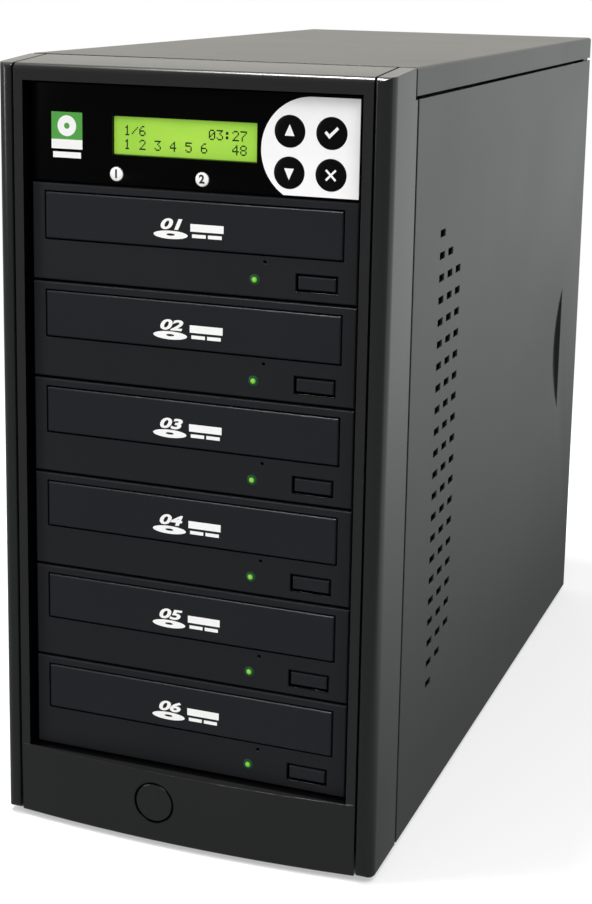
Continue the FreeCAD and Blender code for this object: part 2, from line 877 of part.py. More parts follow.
def drive_tray(z0):
    """The sliding tray: wells for large and small discs, a spindle window and thin side edges."""
    low = z0 + tray_lift
    high = low + tray_thickness
    edge_low = low + (tray_thickness - tray_edge_thickness) / 2
    body = plan_prism([
        (-tray_half, tray_front_y), (tray_half, tray_front_y),
        (tray_half, tray_rear_y - tray_corner), (tray_half - tray_corner, tray_rear_y),
        (-tray_half + tray_corner, tray_rear_y), (-tray_half, tray_rear_y - tray_corner),
    ], low, high)
    edge_half = tray_half + tray_edge_width
    edge = block(-edge_half, edge_half, tray_front_y, tray_rear_y - tray_corner,
                 edge_low, edge_low + tray_edge_thickness)
    well = rod_z(0, disc_centre_y, high - disc_recess, high + overrun, disc_well_radius)
    small = rod_z(0, disc_centre_y, high - disc_recess - small_disc_recess, high, small_disc_radius)
    window = rod_z(0, disc_centre_y, low - overrun, high + overrun, window_half_width)
    window = window.fuse(block(-window_half_width, window_half_width, disc_centre_y,
                               tray_rear_y - window_rear_wall, low - overrun, high + overrun))
    return body.fuse(edge).cut([well, small, window]).removeSplitter()


def tray_front(z0):
    """The face that closes the tray slot."""
    low = z0 + bay_gap / 2 + tray_front_lift
    y0 = face_y - tray_front_proud
    face = block(-tray_front_width / 2, tray_front_width / 2, y0, tray_front_y,
                 low, low + tray_front_height)
    return face.makeChamfer(tray_front_edge, front_edges(face, y0))


def eject_button(z0):
    """A flat button held behind the drive's front by a flange."""
    low = z0 + bay_gap / 2 + eject_lift
    high = low + eject_height
    left = eject_x - eject_width / 2
    right = eject_x + eject_width / 2
    flange_y = drive_front_y + eject_stem
    cap = block(left, right, face_y, flange_y, low, high)
    cap = cap.makeChamfer(bezel_edge, front_edges(cap, face_y))
    flange = block(left - eject_flange_lip, right + eject_flange_lip, flange_y,
                   flange_y + eject_flange, low - eject_flange_lip, high + eject_flange_lip)
    return cap.fuse(flange).removeSplitter()


# Controller

def controller_floor():
    """The lower edge of the controller's faceplate."""
    return bay_floor(bay_count - 1) + bay_gap / 2


def key_places():
    """Each key's name, its middle and its radius."""
    low = controller_floor()
    low_z = low + key_low_lift
    high_z = low_z + key_pitch_z
    small_z = low + small_key_lift
    return [
        ("up_key", left_key_x, high_z, key_radius),
        ("enter_key", right_key_x, high_z, key_radius),
        ("down_key", left_key_x, low_z, key_radius),
        ("escape_key", right_key_x, low_z, key_radius),
        ("function_key_1", small_key_x, small_z, small_key_radius),
        ("function_key_2", small_key_x + small_key_pitch, small_z, small_key_radius),
    ]


def boss_places():
    """The four bosses that the controller's board is fixed to."""
    low = controller_floor() + board_lift
    half = drive_width / 2 - drive_sheet - board_side_gap
    return [(side * (half - boss_inset), z) for side in (-1, 1)
            for z in (low + boss_inset, low + board_height - boss_inset)]


def controller_faceplate():
    """The control panel's plate, with its display window, key holes and six-sided spacers."""
    low = controller_floor()
    back = face_y + plate_thickness
    plate = block(-face_width / 2, face_width / 2, face_y, back, low, low + face_height)
    plate = plate.makeChamfer(bezel_edge, front_edges(plate, face_y))
    bosses = [rod_y(x, z, back, board_front_y, boss_radius, boss_flat_count) for x, z in boss_places()]
    window_z = low + window_lift
    cuts = [block(window_x - window_width / 2, window_x + window_width / 2, face_y - overrun,
                  back + overrun / 2, window_z - window_height / 2, window_z + window_height / 2)]
    for name, x, z, radius in key_places():
        cuts.append(rod_y(x, z, face_y - overrun, back + overrun / 2, radius + key_gap))
    return plate.cut(cuts).fuse(bosses)


def key_cap(x, z, radius):
    """A round key: a cap, a square plate whose corners keep it in, and a stem to its switch."""
    back = face_y + plate_thickness + key_flange_gap
    cap = rod_y(x, z, face_y - key_proud, back, radius)
    half = (radius + key_gap + key_flange_lip) * math.sqrt(1 / 2)
    flange = block(x - half, x + half, back, back + key_flange, z - half, z + half)
    stem_end = board_front_y - switch_depth - key_travel - key_switch_gap
    half = radius * key_stem_share
    stem = block(x - half, x + half, back + key_flange, stem_end, z - half, z + half)
    return cap.fuse([flange, stem]).removeSplitter()


def display_module():
    """The character display: a glass pane in a metal frame on its own small board."""
    z = controller_floor() + window_lift
    back = face_y + plate_thickness
    half_w = window_width / 2
    half_h = window_height / 2
    frame = block(window_x - half_w - display_frame_lip, window_x + half_w + display_frame_lip,
                  back, back + display_frame_depth,
                  z - half_h - display_frame_lip, z + half_h + display_frame_lip)
    lip_w = half_w + display_frame_lip + display_board_lip
    lip_h = half_h + display_frame_lip
    board = block(window_x - lip_w, window_x + lip_w, back + display_frame_depth,
                  back + display_frame_depth + board_thickness, z - lip_h, z + lip_h)
    glass = block(window_x - half_w + display_glass_gap, window_x + half_w - display_glass_gap,
                  face_y + display_recess, back,
                  z - half_h + display_glass_gap, z + half_h - display_glass_gap)
    pads = block(window_x - half_w, window_x + half_w, back + display_frame_depth + board_thickness,
                 board_front_y, z - display_board_lip, z + display_board_lip)
    return frame.fuse([board, glass, pads]).removeSplitter()


def controller_board():
    """The main board on edge behind the panel, with key switches, chips and drive sockets."""
    low = controller_floor() + board_lift
    half = drive_width / 2 - drive_sheet - board_side_gap
    back = board_front_y + board_thickness
    board = block(-half, half, board_front_y, back, low, low + board_height)
    added = []
    for name, x, z, radius in key_places():
        half = min(switch_size, radius * 2) / 2
        switch_y = board_front_y - switch_depth + plunger_length
        added.append(block(x - half, x + half, switch_y, board_front_y, z - half, z + half))
        half = min(plunger_width, radius) / 2
        added.append(block(x - half, x + half, switch_y - plunger_length, switch_y,
                           z - half, z + half))
    middle = low + board_height / 2
    for step in (-1, 0, 1):
        x = step * chip_pitch
        added.append(block(x - chip_width / 2, x + chip_width / 2, back, back + chip_depth,
                           middle, middle + chip_width))
        added.append(block(x - header_width / 4, x + header_width / 4, back, back + header_depth,
                           low + header_height / 2, low + header_height * 3 / 2))
    return board.fuse(added).removeSplitter()


def controller_case():
    """The controller's open-topped steel tray."""
    low = bay_floor(bay_count - 1) + housing_lift
    half = drive_width / 2
    front = face_y + plate_thickness
    tray = block(-half, half, front, front + controller_depth, low, low + drive_height)
    room = block(-half + drive_sheet, half - drive_sheet, front - overrun,
                 front + controller_depth - drive_sheet, low + drive_sheet, low + drive_height + overrun)
    key_room = block(-half + drive_sheet, half - drive_sheet, front - overrun,
                     front + key_flange_gap + key_flange + key_travel + key_switch_gap,
                     low - overrun, low + drive_sheet)
    slope = side_prism([
        (front + controller_depth / 2, low + drive_height + overrun),
        (front + controller_depth / 2, low + drive_height),
        (front + controller_depth, low + drive_height / 2),
        (front + controller_depth + overrun, low + drive_height / 2),
        (front + controller_depth + overrun, low + drive_height + overrun),
    ], -half - overrun, half + overrun)
    return tray.cut([room, key_room, slope])


# Fans

def guard_cuts(x, z, y0, y1):
    """The openings of a stamped fan guard: rings broken by spokes."""
    step = (fan_bore_radius - guard_centre_radius) / guard_rings
    bars = []
    for index in range(guard_spokes // 2):
        bar = block(x - fan_bore_radius, x + fan_bore_radius, y0 - overrun, y1 + overrun,
                    z - guard_bar / 2, z + guard_bar / 2)
        bars.append(bar.rotate(V(x, 0, z), ALONG_Y, 45.0 + index * 360.0 / guard_spokes))
    cuts = []
    for ring in range(guard_rings):
        outer = guard_centre_radius + (ring + 1) * step
        inner = outer - step + guard_bar
        tube = rod_y(x, z, y0, y1, outer, guard_flat_count)
        tube = tube.cut(rod_y(x, z, y0 - overrun, y1 + overrun, inner, guard_flat_count))
        cuts.append(tube.cut(bars))
    return cuts


def fan_holes(x, z, y0, y1):
    """The four screw holes at a fan's corners."""
    half = fan_size / 2 - fan_hole_inset
    return [rod_y(x + a * half, z + b * half, y0, y1, fan_hole_radius, fan_hole_flat_count)
            for a in (-1, 1) for b in (-1, 1)]


def fan_frame(x, z, y_rear):
    """A fan's fixed frame: square body, round duct, struts, motor seat and bearing sleeve."""
    y_front = y_rear - fan_depth
    half = fan_size / 2
    body = block(x - half, x + half, y_front, y_rear, z - half, z + half)
    notches = []
    inset = fan_strut_depth
    for a in (-1, 1):
        for b in (-1, 1):
            cx = x + a * half
            cz = z + b * half
            notches.append(block(min(cx, cx - a * fan_notch), max(cx, cx - a * fan_notch),
                                 y_front + inset, y_rear - inset,
                                 min(cz, cz - b * fan_notch), max(cz, cz - b * fan_notch)))
    duct = rod_y(x, z, y_front - overrun, y_rear + overrun, fan_bore_radius)
    wall = rod_y(x, z, y_front, y_rear, fan_bore_radius + fan_hub_wall)
    body = body.cut(notches).fuse(wall).cut(duct)
    struts = []
    for angle in (0.0, 90.0):
        strut = block(x - fan_bore_radius - fan_hub_wall, x + fan_bore_radius + fan_hub_wall,
                      y_front, y_front + fan_strut_depth,
                      z - fan_strut_width / 2, z + fan_strut_width / 2)
        struts.append(strut.rotate(V(x, 0, z), ALONG_Y, angle))
    seat = rod_y(x, z, y_front, y_front + fan_strut_depth, fan_hub_radius)
    sleeve_end = y_rear - fan_rear_gap - fan_hub_wall - fan_hub_gap
    sleeve = rod_y(x, z, y_front, sleeve_end, fan_sleeve_radius)
    bore = journal(x, z, y_front + fan_hub_wall, y_rear, fan_shaft_radius + fan_shaft_clearance)
    holes = fan_holes(x, z, y_front - overrun, y_rear + overrun)
    return body.fuse(struts + [seat, sleeve]).cut([bore] + holes).removeSplitter()


def triangle_loft(root, tip):
    """A solid between two flat outlines with as many corners, its sides split into triangles."""
    faces = [Part.Face(Part.makePolygon(ring + [ring[0]])) for ring in (root, tip)]
    for index in range(len(root)):
        after = (index + 1) % len(root)
        for corners in ((root[index], root[after], tip[after]), (root[index], tip[after], tip[index])):
            faces.append(Part.Face(Part.makePolygon(list(corners) + [corners[0]])))
    solid = Part.Solid(Part.Shell(faces))
    if solid.Volume < 0:
        solid.reverse()
    return solid


def fan_blade(x, z, y_middle):
    """One cambered, twisted blade, from inside the hub's rim to just short of the duct."""
    angle = math.radians(fan_blade_tip_deg)
    half_tip = fan_blade_tip_chord / 2 * math.cos(angle) + fan_blade_thickness
    tip_x = math.sqrt((fan_bore_radius - fan_blade_tip_gap) ** 2 - half_tip ** 2)
    sections = []
    for reach, chord, angle_deg in (
            (fan_hub_radius - fan_hub_wall / 2, fan_blade_root_chord, fan_blade_root_deg),
            (tip_x, fan_blade_tip_chord, fan_blade_tip_deg)):
        angle = math.radians(angle_deg)
        corners = []
        for along, camber, side in ((-3, 0, -1), (-1, 1, -1), (1, 1, -1), (3, 0, -1),
                                    (3, 0, 1), (1, 1, 1), (-1, 1, 1), (-3, 0, 1)):
            a = along * chord / 6
            b = side * fan_blade_thickness / 2 + camber * fan_blade_camber
            corners.append(V(x + reach, y_middle + a * math.sin(angle) + b * math.cos(angle),
                             z + a * math.cos(angle) - b * math.sin(angle)))
        sections.append(corners)
    return triangle_loft(*sections)


def fan_rotor(x, z, y_rear):
    """The turning part: a hub cup on a shaft, with its blades."""
    y_front = y_rear - fan_depth
    cup_front = y_front + fan_strut_depth + fan_hub_gap
    cup_rear = y_rear - fan_rear_gap
    cup = rod_y(x, z, cup_front, cup_rear, fan_hub_radius)
    room = rod_y(x, z, cup_front - overrun, cup_rear - fan_hub_wall, fan_hub_radius - fan_hub_wall)
    shaft = journal(x, z, y_front + fan_hub_wall + fan_shaft_end_gap, cup_rear - fan_hub_wall / 2,
                    fan_shaft_radius)
    blade = fan_blade(x, z, (cup_front + cup_rear) / 2)
    blades = []
    for index in range(fan_blade_count):
        blades.append(blade.copy().rotate(V(x, 0, z), ALONG_Y, index * 360.0 / fan_blade_count))
    return cup.cut(room).fuse([shaft] + blades).removeSplitter()


# Power supply

def inlet_z():
    """The height of the mains inlet's middle."""
    return supply_top_z - inlet_drop


def rocker_z():
    """The height of the mains switch's middle, below the inlet."""
    half = rocker_openings()[1] + rocker_frame_rim + rocker_flange_rim
    return inlet_z() - inlet_flange_height / 2 - rocker_inlet_gap - half


def rocker_end_radius():
    """From the rocker's pin to its ends."""
    return math.hypot(rocker_crown, rocker_reach)


def rocker_openings():
    """Half the width and half the height of the rocker's well."""
    return rocker_width / 2 + rocker_side_gap, rocker_end_radius() + rocker_end_gap


def supply_case():
    """The folded steel box, with a guard, cut-outs for inlet and switch, and air slots."""
    half = supply_half
    box = block(-half, half, supply_front_y, rear_inner_y, supply_bottom_z, supply_top_z)
    room = block(-half + sheet, half - sheet, supply_front_y + sheet, rear_inner_y - sheet,
                 supply_bottom_z + sheet, supply_top_z - sheet)
    y0 = rear_inner_y - overrun
    y1 = rear_inner_y + overrun
    cuts = [room]
    cuts += guard_cuts(supply_fan_x, supply_fan_z, y0, y1)
    cuts += fan_holes(supply_fan_x, supply_fan_z, y0, y1)
    w = inlet_body_width / 2 + cutout_clearance
    h = inlet_body_height / 2 + cutout_clearance
    cuts.append(block(inlet_x - w, inlet_x + w, y0, y1, inlet_z() - h, inlet_z() + h))
    well_w, well_h = rocker_openings()
    w = well_w + rocker_frame_rim + cutout_clearance
    h = well_h + rocker_frame_rim + cutout_clearance
    cuts.append(block(inlet_x - w, inlet_x + w, y0, y1, rocker_z() - h, rocker_z() + h))
    y0 = supply_front_y - overrun
    y1 = supply_front_y + overrun
    first_x = supply_fan_x - (air_slot_count - 1) * air_slot_pitch / 2
    for index in range(air_slot_count):
        x = first_x + index * air_slot_pitch
        cuts.append(block(x - air_slot_width / 2, x + air_slot_width / 2, y0, y1,
                          supply_fan_z - air_slot_length / 2, supply_fan_z + air_slot_length / 2))
    cuts.append(rod_y(lead_hole_x, supply_fan_z, y0, y1, lead_hole_radius))
    return box.cut(cuts)


def rocker_frame():
    """The switch's fixed body: a flanged well with two blind pivot holes."""
    well_w, well_h = rocker_openings()
    z = rocker_z()
    w = well_w + rocker_frame_rim
    h = well_h + rocker_frame_rim
    body = block(inlet_x - w, inlet_x + w, rear_inner_y - rocker_frame_depth, rear_inner_y,
                 z - h, z + h)
    w += rocker_flange_rim
    h += rocker_flange_rim
    flange = block(inlet_x - w, inlet_x + w, rear_inner_y, rear_inner_y + rocker_flange_depth,
                   z - h, z + h)
    well = block(inlet_x - well_w, inlet_x + well_w,
                 rear_inner_y - rocker_frame_depth + rocker_floor, rear_inner_y + overrun,
                 z - well_h, z + well_h)
    pivot_half = well_w + rocker_pivot_depth
    pivot = Part.makeCylinder(rocker_pin_radius + rocker_pin_clearance, pivot_half * 2,
                              V(inlet_x - pivot_half, rear_inner_y, z), ALONG_X)
    return body.fuse(flange).cut([well, pivot]).removeSplitter()


def power_rocker():
    """The rocker, tipped to its off side, with a stub pin at each side."""
    z = rocker_z()
    y = rear_inner_y
    half = rocker_width / 2
    radius = rocker_end_radius()
    rocker = side_prism([
        (y, z + radius),
        (arc_middle((y, z), radius, (90.0 + math.degrees(math.atan2(rocker_reach, rocker_crown))) / 2),
         (y + rocker_crown, z + rocker_reach)),
        (y + rocker_valley, z),
        (y + rocker_crown, z - rocker_reach),
        (arc_middle((y, z), radius, (-90.0 - math.degrees(math.atan2(rocker_reach, rocker_crown))) / 2),
         (y, z - radius)),
        (y - rocker_back, z - rocker_reach / 2),
        (y - rocker_back, z + rocker_reach / 2),
    ], inlet_x - half, inlet_x + half)
    pin_half = half + rocker_side_gap + rocker_pin_length
    pin = Part.makeCylinder(rocker_pin_radius, pin_half * 2, V(inlet_x - pin_half, y, z), ALONG_X)
    return rocker.fuse(pin).removeSplitter().rotate(V(inlet_x, y, z), ALONG_X, rocker_tilt_deg)


def power_supply():
    """The box, the fixed frame of its fan and the fixed body of its switch."""
    fan = fan_frame(supply_fan_x, supply_fan_z, rear_inner_y - sheet)
    return Part.makeCompound([supply_case(), fan, rocker_frame()])


def power_inlet():
    """The mains inlet: a flanged socket with three flat blades."""
    z = inlet_z()
    y_face = rear_inner_y + inlet_flange_depth
    y_floor = y_face - inlet_cavity_depth
    w = inlet_body_width / 2
    h = inlet_body_height / 2
    body = block(inlet_x - w, inlet_x + w, y_floor - inlet_floor, rear_inner_y, z - h, z + h)
    w = inlet_flange_width / 2
    h = inlet_flange_height / 2
    c = inlet_corner
    flange = front_prism([
        (inlet_x - w + c, z - h), (inlet_x + w - c, z - h), (inlet_x + w, z - h + c),
        (inlet_x + w, z + h - c), (inlet_x + w - c, z + h), (inlet_x - w + c, z + h),
        (inlet_x - w, z + h - c), (inlet_x - w, z - h + c),
    ], rear_inner_y, y_face)
    w = inlet_cavity_width / 2
    h = inlet_cavity_height / 2
    c = inlet_cavity_corner
    cavity = front_prism([
        (inlet_x - w, z - h), (inlet_x + w, z - h), (inlet_x + w, z + h - c),
        (inlet_x + w - c, z + h), (inlet_x - w + c, z + h), (inlet_x - w, z + h - c),
    ], y_floor, y_face + overrun)
    socket = body.fuse(flange).cut(cavity)
    blades = []
    for x, lift in ((-blade_spacing / 2, -blade_offset), (blade_spacing / 2, -blade_offset),
                    (0, blade_offset)):
        blades.append(block(inlet_x + x - blade_width / 2, inlet_x + x + blade_width / 2,
                            y_floor, y_floor + blade_length,
                            z + lift - blade_height / 2, z + lift + blade_height / 2))
    return socket.fuse(blades).removeSplitter()


def make_nodes():
    """Every named piece of the tower."""
    nodes = {
        "base_plate": base_plate(),
        "rear_panel": rear_panel(),
        "bay_cage": bay_cage(),
        "top_cover": top_cover(),
        "front_bezel": front_bezel(),
        "power_button": power_button(),
        "controller_case": controller_case(),
        "controller_faceplate": controller_faceplate(),
        "controller_board": controller_board(),
        "display_module": display_module(),
        "power_supply": power_supply(),
        "power_inlet": power_inlet(),
        "power_rocker": power_rocker(),
    }
    panel = side_panel()
    nodes["right_side_panel"] = panel
    nodes["left_side_panel"] = mirrored(panel)
    strip = trim_strip()
    nodes["right_trim_strip"] = strip
    nodes["left_trim_strip"] = mirrored(strip)
    for side, name in ((-1, "left_panel_screws"), (1, "right_panel_screws")):
        screws = [thumbscrew(side * screw_x(), z) for z in screw_levels()]
        nodes[name] = Part.makeCompound(screws)
    nodes["rubber_feet"] = Part.makeCompound([rubber_foot(x, y) for x, y in foot_places()])
    for name, x, z, radius in key_places():
        nodes[name] = key_cap(x, z, radius)
    nodes["fan_frame"] = fan_frame(0, case_fan_z, rear_inner_y)
    nodes["fan_rotor"] = fan_rotor(0, case_fan_z, rear_inner_y)
    nodes["power_supply_fan_rotor"] = fan_rotor(supply_fan_x, supply_fan_z, rear_inner_y - sheet)
    lamps = []
    for number in range(1, drive_count + 1):
        z0 = bay_floor(drive_count - number)
        nodes["drive_%d_housing" % number] = drive_housing(z0)
        nodes["drive_%d_bezel" % number] = drive_bezel(z0)
        nodes["drive_%d_tray" % number] = drive_tray(z0)
        nodes["drive_%d_tray_front" % number] = tray_front(z0)
        nodes["drive_%d_eject_button" % number] = eject_button(z0)
        lamps.append(drive_lamp(z0))
    nodes["drive_leds"] = Part.makeCompound(lamps)
    return nodes


os.makedirs("parts", exist_ok=True)
nodes = make_nodes()
for name, shape in nodes.items():
    if not shape.isValid() or shape.Volume <= 0:
        print("bad solid:", name)
    shape.exportStep("parts/" + name + ".step")
box = Part.makeCompound(list(nodes.values())).BoundBox
print(len(nodes), "nodes; size", round(box.XLength, 2), round(box.YLength, 2), round(box.ZLength, 2))
print("centre", round(box.Center.x, 3), round(box.Center.y, 3), "lowest", round(box.ZMin, 3))
print("travel: trays", tray_travel, "eject buttons", eject_travel, "keys", key_travel,
      "power button", power_travel, "side panels", panel_slide)
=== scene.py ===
import json
import math

import bmesh
import bpy
from mathutils import Matrix, Vector


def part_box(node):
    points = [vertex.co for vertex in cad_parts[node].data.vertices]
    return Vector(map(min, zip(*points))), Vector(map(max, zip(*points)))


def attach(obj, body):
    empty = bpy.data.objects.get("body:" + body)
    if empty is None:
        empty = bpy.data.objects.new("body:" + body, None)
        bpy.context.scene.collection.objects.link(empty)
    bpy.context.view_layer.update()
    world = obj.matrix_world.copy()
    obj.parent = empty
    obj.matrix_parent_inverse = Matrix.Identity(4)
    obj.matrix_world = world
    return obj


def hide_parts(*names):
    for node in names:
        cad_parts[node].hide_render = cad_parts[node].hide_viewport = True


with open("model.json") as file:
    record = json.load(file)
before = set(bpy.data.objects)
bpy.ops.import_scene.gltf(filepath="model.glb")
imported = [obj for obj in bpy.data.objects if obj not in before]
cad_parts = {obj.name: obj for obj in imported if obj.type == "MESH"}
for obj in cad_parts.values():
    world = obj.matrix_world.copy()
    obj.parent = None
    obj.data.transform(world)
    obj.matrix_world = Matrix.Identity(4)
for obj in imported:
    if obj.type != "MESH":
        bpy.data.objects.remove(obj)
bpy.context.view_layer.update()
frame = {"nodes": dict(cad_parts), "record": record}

# The view of the photograph: a long lens, a little above the tower and to its right. Places are in
# metres in the tower's own frame, and pixels are those of the photograph, 592 wide and 904 high.
mm = 0.001
photo_width = 592
photo_height = 904
focal_pixels = 1748.0
middle_column = 287.0
middle_row = 310.0
camera_place = Vector((290.64, -854.27, 386.81)) * mm
camera_yaw = math.radians(-20.496)
camera_pitch = math.radians(-11.228)
camera_roll = math.radians(-0.998)


def add_object(name, data):
    """An object at the origin with its data, in the scene."""
    made = bpy.data.objects.new(name, data)
    bpy.context.scene.collection.objects.link(made)
    return made


forward = Vector((math.sin(camera_yaw) * math.cos(camera_pitch),
                  math.cos(camera_yaw) * math.cos(camera_pitch), math.sin(camera_pitch)))
level_right = Vector((math.cos(camera_yaw), -math.sin(camera_yaw), 0))
level_down = forward.cross(level_right)
right = math.cos(camera_roll) * level_right + math.sin(camera_roll) * level_down
down = math.cos(camera_roll) * level_down - math.sin(camera_roll) * level_right
lens = bpy.data.cameras.new("camera")
lens.sensor_width = 36
lens.lens = focal_pixels * lens.sensor_width / photo_height
lens.shift_x = (photo_width / 2 - middle_column) / photo_height
lens.shift_y = (middle_row - photo_height / 2) / photo_height
camera = add_object("camera", lens)
facing = Matrix((right, -down, -forward)).transposed().to_4x4()
camera.matrix_world = Matrix.Translation(camera_place) @ facing
bpy.context.scene.camera = camera
bpy.context.scene.view_settings.view_transform = "Standard"

# The studio: a white floor that keeps the tower's shadow, and an even surround, white to the eye.
# What polished faces mirror is dim in front, and bright and faintly warm behind. Two soft lamps
# light the tower from both sides, and a third one draws the streak on the frame's upper edge.
floor_reach = 12.0
floor_white = (0.96, 0.96, 0.96, 1)
floor_grey = (0.34, 0.34, 0.34, 1)
white = (1, 1, 1, 1)
shadow_reach = 0.35
white_reach = 1.0
least_white = 0.4
ambient_level = 0.66
front_level = 0.22
back_level = 0.97
front_end = -0.6
back_end = 0.9
warm_back = (1.0, 0.975, 0.90, 1)
cool_side = (0.96, 1.0, 0.985, 1)
side_end = 0.3
dark_floor_x = 0.11
bright_floor_x = 0.45
dark_floor_y = -0.32
bright_floor_y = -0.12
dark_floor = 0.25
bright_floor = 0.97


def feed(tree, node, inputs):
    """Links or sets a node's inputs."""
    for key, value in inputs.items():
        if isinstance(value, bpy.types.NodeSocket):
            tree.links.new(value, node.inputs[key])
        else:
            node.inputs[key].default_value = value


def add_node(tree, kind, inputs=None, **settings):
    """A shader or geometry node with its settings and its inputs."""
    made = tree.nodes.new(kind)
    for key, value in settings.items():
        setattr(made, key, value)
    feed(tree, made, inputs or {})
    return made


def own_tree(data):
    """The emptied node tree of a world or a material."""
    data.use_nodes = True
    data.node_tree.nodes.clear()
    return data.node_tree


def maths(tree, operation, *values):
    """The result of a maths node."""
    return add_node(tree, "ShaderNodeMath", dict(enumerate(values)), operation=operation).outputs[0]


def vectors(tree, operation, *values):
    """The result of a vector maths node."""
    made = add_node(tree, "ShaderNodeVectorMath", dict(enumerate(values)), operation=operation)
    return made.outputs["Value" if operation in ("LENGTH", "DOT_PRODUCT") else "Vector"]


def ranged(tree, value, low, high, first=0.0, second=1.0, **settings):
    """A number that goes from first to second while the value goes from low to high."""
    return add_node(tree, "ShaderNodeMapRange", {"Value": value, "From Min": low, "From Max": high,
                                                 "To Min": first, "To Max": second}, **settings).outputs[0]


def number_between(tree, share, first, second):
    """A number that goes from first to second with share."""
    return add_node(tree, "ShaderNodeMix", {"Factor": share, "A": first, "B": second}).outputs["Result"]


def colour_between(tree, share, first, second):
    """A colour that goes from first to second with share."""
    mixed = add_node(tree, "ShaderNodeMix", {"Factor": share, 6: first, 7: second}, data_type="RGBA")
    return mixed.outputs[2]


def object_place(tree):
    """The place of a point on its object."""
    return add_node(tree, "ShaderNodeTexCoord").outputs["Object"]


surround = bpy.data.worlds.new("surround")
bpy.context.scene.world = surround
tree = own_tree(surround)
path = add_node(tree, "ShaderNodeLightPath").outputs
glance = add_node(tree, "ShaderNodeTexCoord").outputs["Generated"]
direction = add_node(tree, "ShaderNodeSeparateXYZ", {0: glance}).outputs
depth = ranged(tree, direction["Y"], front_end, back_end, front_level, back_level,
               interpolation_type="SMOOTHSTEP")
seen = maths(tree, "MAXIMUM", path["Is Camera Ray"], path["Is Transmission Ray"])
mirrored = number_between(tree, path["Is Glossy Ray"], ambient_level, depth)
hue = colour_between(tree, ranged(tree, direction["X"], 0.0, side_end), warm_back, cool_side)
tint = colour_between(tree, path["Is Glossy Ray"], white, hue)
background = add_node(tree, "ShaderNodeBackground",
                      {"Color": tint, "Strength": number_between(tree, seen, mirrored, 1.0)})
add_node(tree, "ShaderNodeOutputWorld", {"Surface": background.outputs[0]})

paper = bpy.data.materials.new("floor_paper")
tree = own_tree(paper)
path = add_node(tree, "ShaderNodeLightPath").outputs
place = object_place(tree)
far = ranged(tree, vectors(tree, "LENGTH", place), shadow_reach, white_reach, least_white,
             interpolation_type="SMOOTHSTEP")
parts = add_node(tree, "ShaderNodeSeparateXYZ", {0: place}).outputs
beside = ranged(tree, parts[0], dark_floor_x, bright_floor_x)
behind = ranged(tree, parts[1], dark_floor_y, bright_floor_y)
mirror = number_between(tree, maths(tree, "MULTIPLY", beside, behind), dark_floor, bright_floor)
tone = colour_between(tree, path["Is Camera Ray"], floor_grey, floor_white)
lit = add_node(tree, "ShaderNodeBsdfDiffuse", {"Color": tone})
tint = colour_between(tree, path["Is Glossy Ray"], white, cool_side)
level = number_between(tree, path["Is Glossy Ray"], 1.0, mirror)
shine = add_node(tree, "ShaderNodeEmission", {"Color": tint, "Strength": level})
shown = maths(tree, "MAXIMUM", maths(tree, "MULTIPLY", far, path["Is Camera Ray"]), path["Is Glossy Ray"])
mixed = add_node(tree, "ShaderNodeMixShader", {"Fac": shown, 1: lit.outputs[0], 2: shine.outputs[0]})
add_node(tree, "ShaderNodeOutputMaterial", {"Surface": mixed.outputs[0]})

floor_mesh = bpy.data.meshes.new("floor")
floor_mesh.from_pydata([(-floor_reach, -floor_reach, 0), (floor_reach, -floor_reach, 0),
                        (floor_reach, floor_reach, 0), (-floor_reach, floor_reach, 0)], [], [(0, 1, 2, 3)])
floor_mesh.materials.append(paper)
add_object("floor", floor_mesh)


def soft_lamp(name, place, aim, width, height, power):
    """An oblong soft box that looks from place to aim."""
    data = bpy.data.lights.new(name, "AREA")
    data.shape = "RECTANGLE"
    data.size = width
    data.size_y = height
    data.energy = power
    lamp = add_object(name, data)
    lamp.location = place
    lamp.rotation_mode = "QUATERNION"
    lamp.rotation_quaternion = (Vector(aim) - Vector(place)).to_track_quat("-Z", "Y")


soft_lamp("high_lamp", (0.9, -1.1, 1.9), (0, 0, 0.2), width=1.4, height=1.0, power=30)
soft_lamp("left_lamp", (-1.7, -1.2, 0.8), (0, 0, 0.2), width=0.5, height=1.2, power=12)
soft_lamp("streak_lamp", (-0.42, -0.25, 1.95), (0, -0.19, 0.35), width=0.45, height=0.3, power=40)

# Sheet steel of the chassis: the floor sheet and the bay cage are cut and folded from zinc-coated
# sheet and left bare, so they show the coating's dull spangle and finely bruised edges.
smooth_below = math.radians(31)
weld_distance = 0.01 * mm
flat_below = math.radians(0.4)
fold_rounding = 0.2 * mm
flat_share = 0.98
bent_share = 0.80
whole_patch = 0.38
worn_patch = 0.66


def start_tree(name, *inputs):
    """Geometry nodes with a geometry, and more inputs as (name, kind), and the node that gives them."""
    tree = bpy.data.node_groups.new(name, "GeometryNodeTree")
    for title, kind in (("Geometry", "Geometry"), *inputs):
        tree.interface.new_socket(title, in_out="INPUT", socket_type=f"NodeSocket{kind}")
    tree.interface.new_socket("Geometry", in_out="OUTPUT", socket_type="NodeSocketGeometry")
    return tree, add_node(tree, "NodeGroupInput").outputs


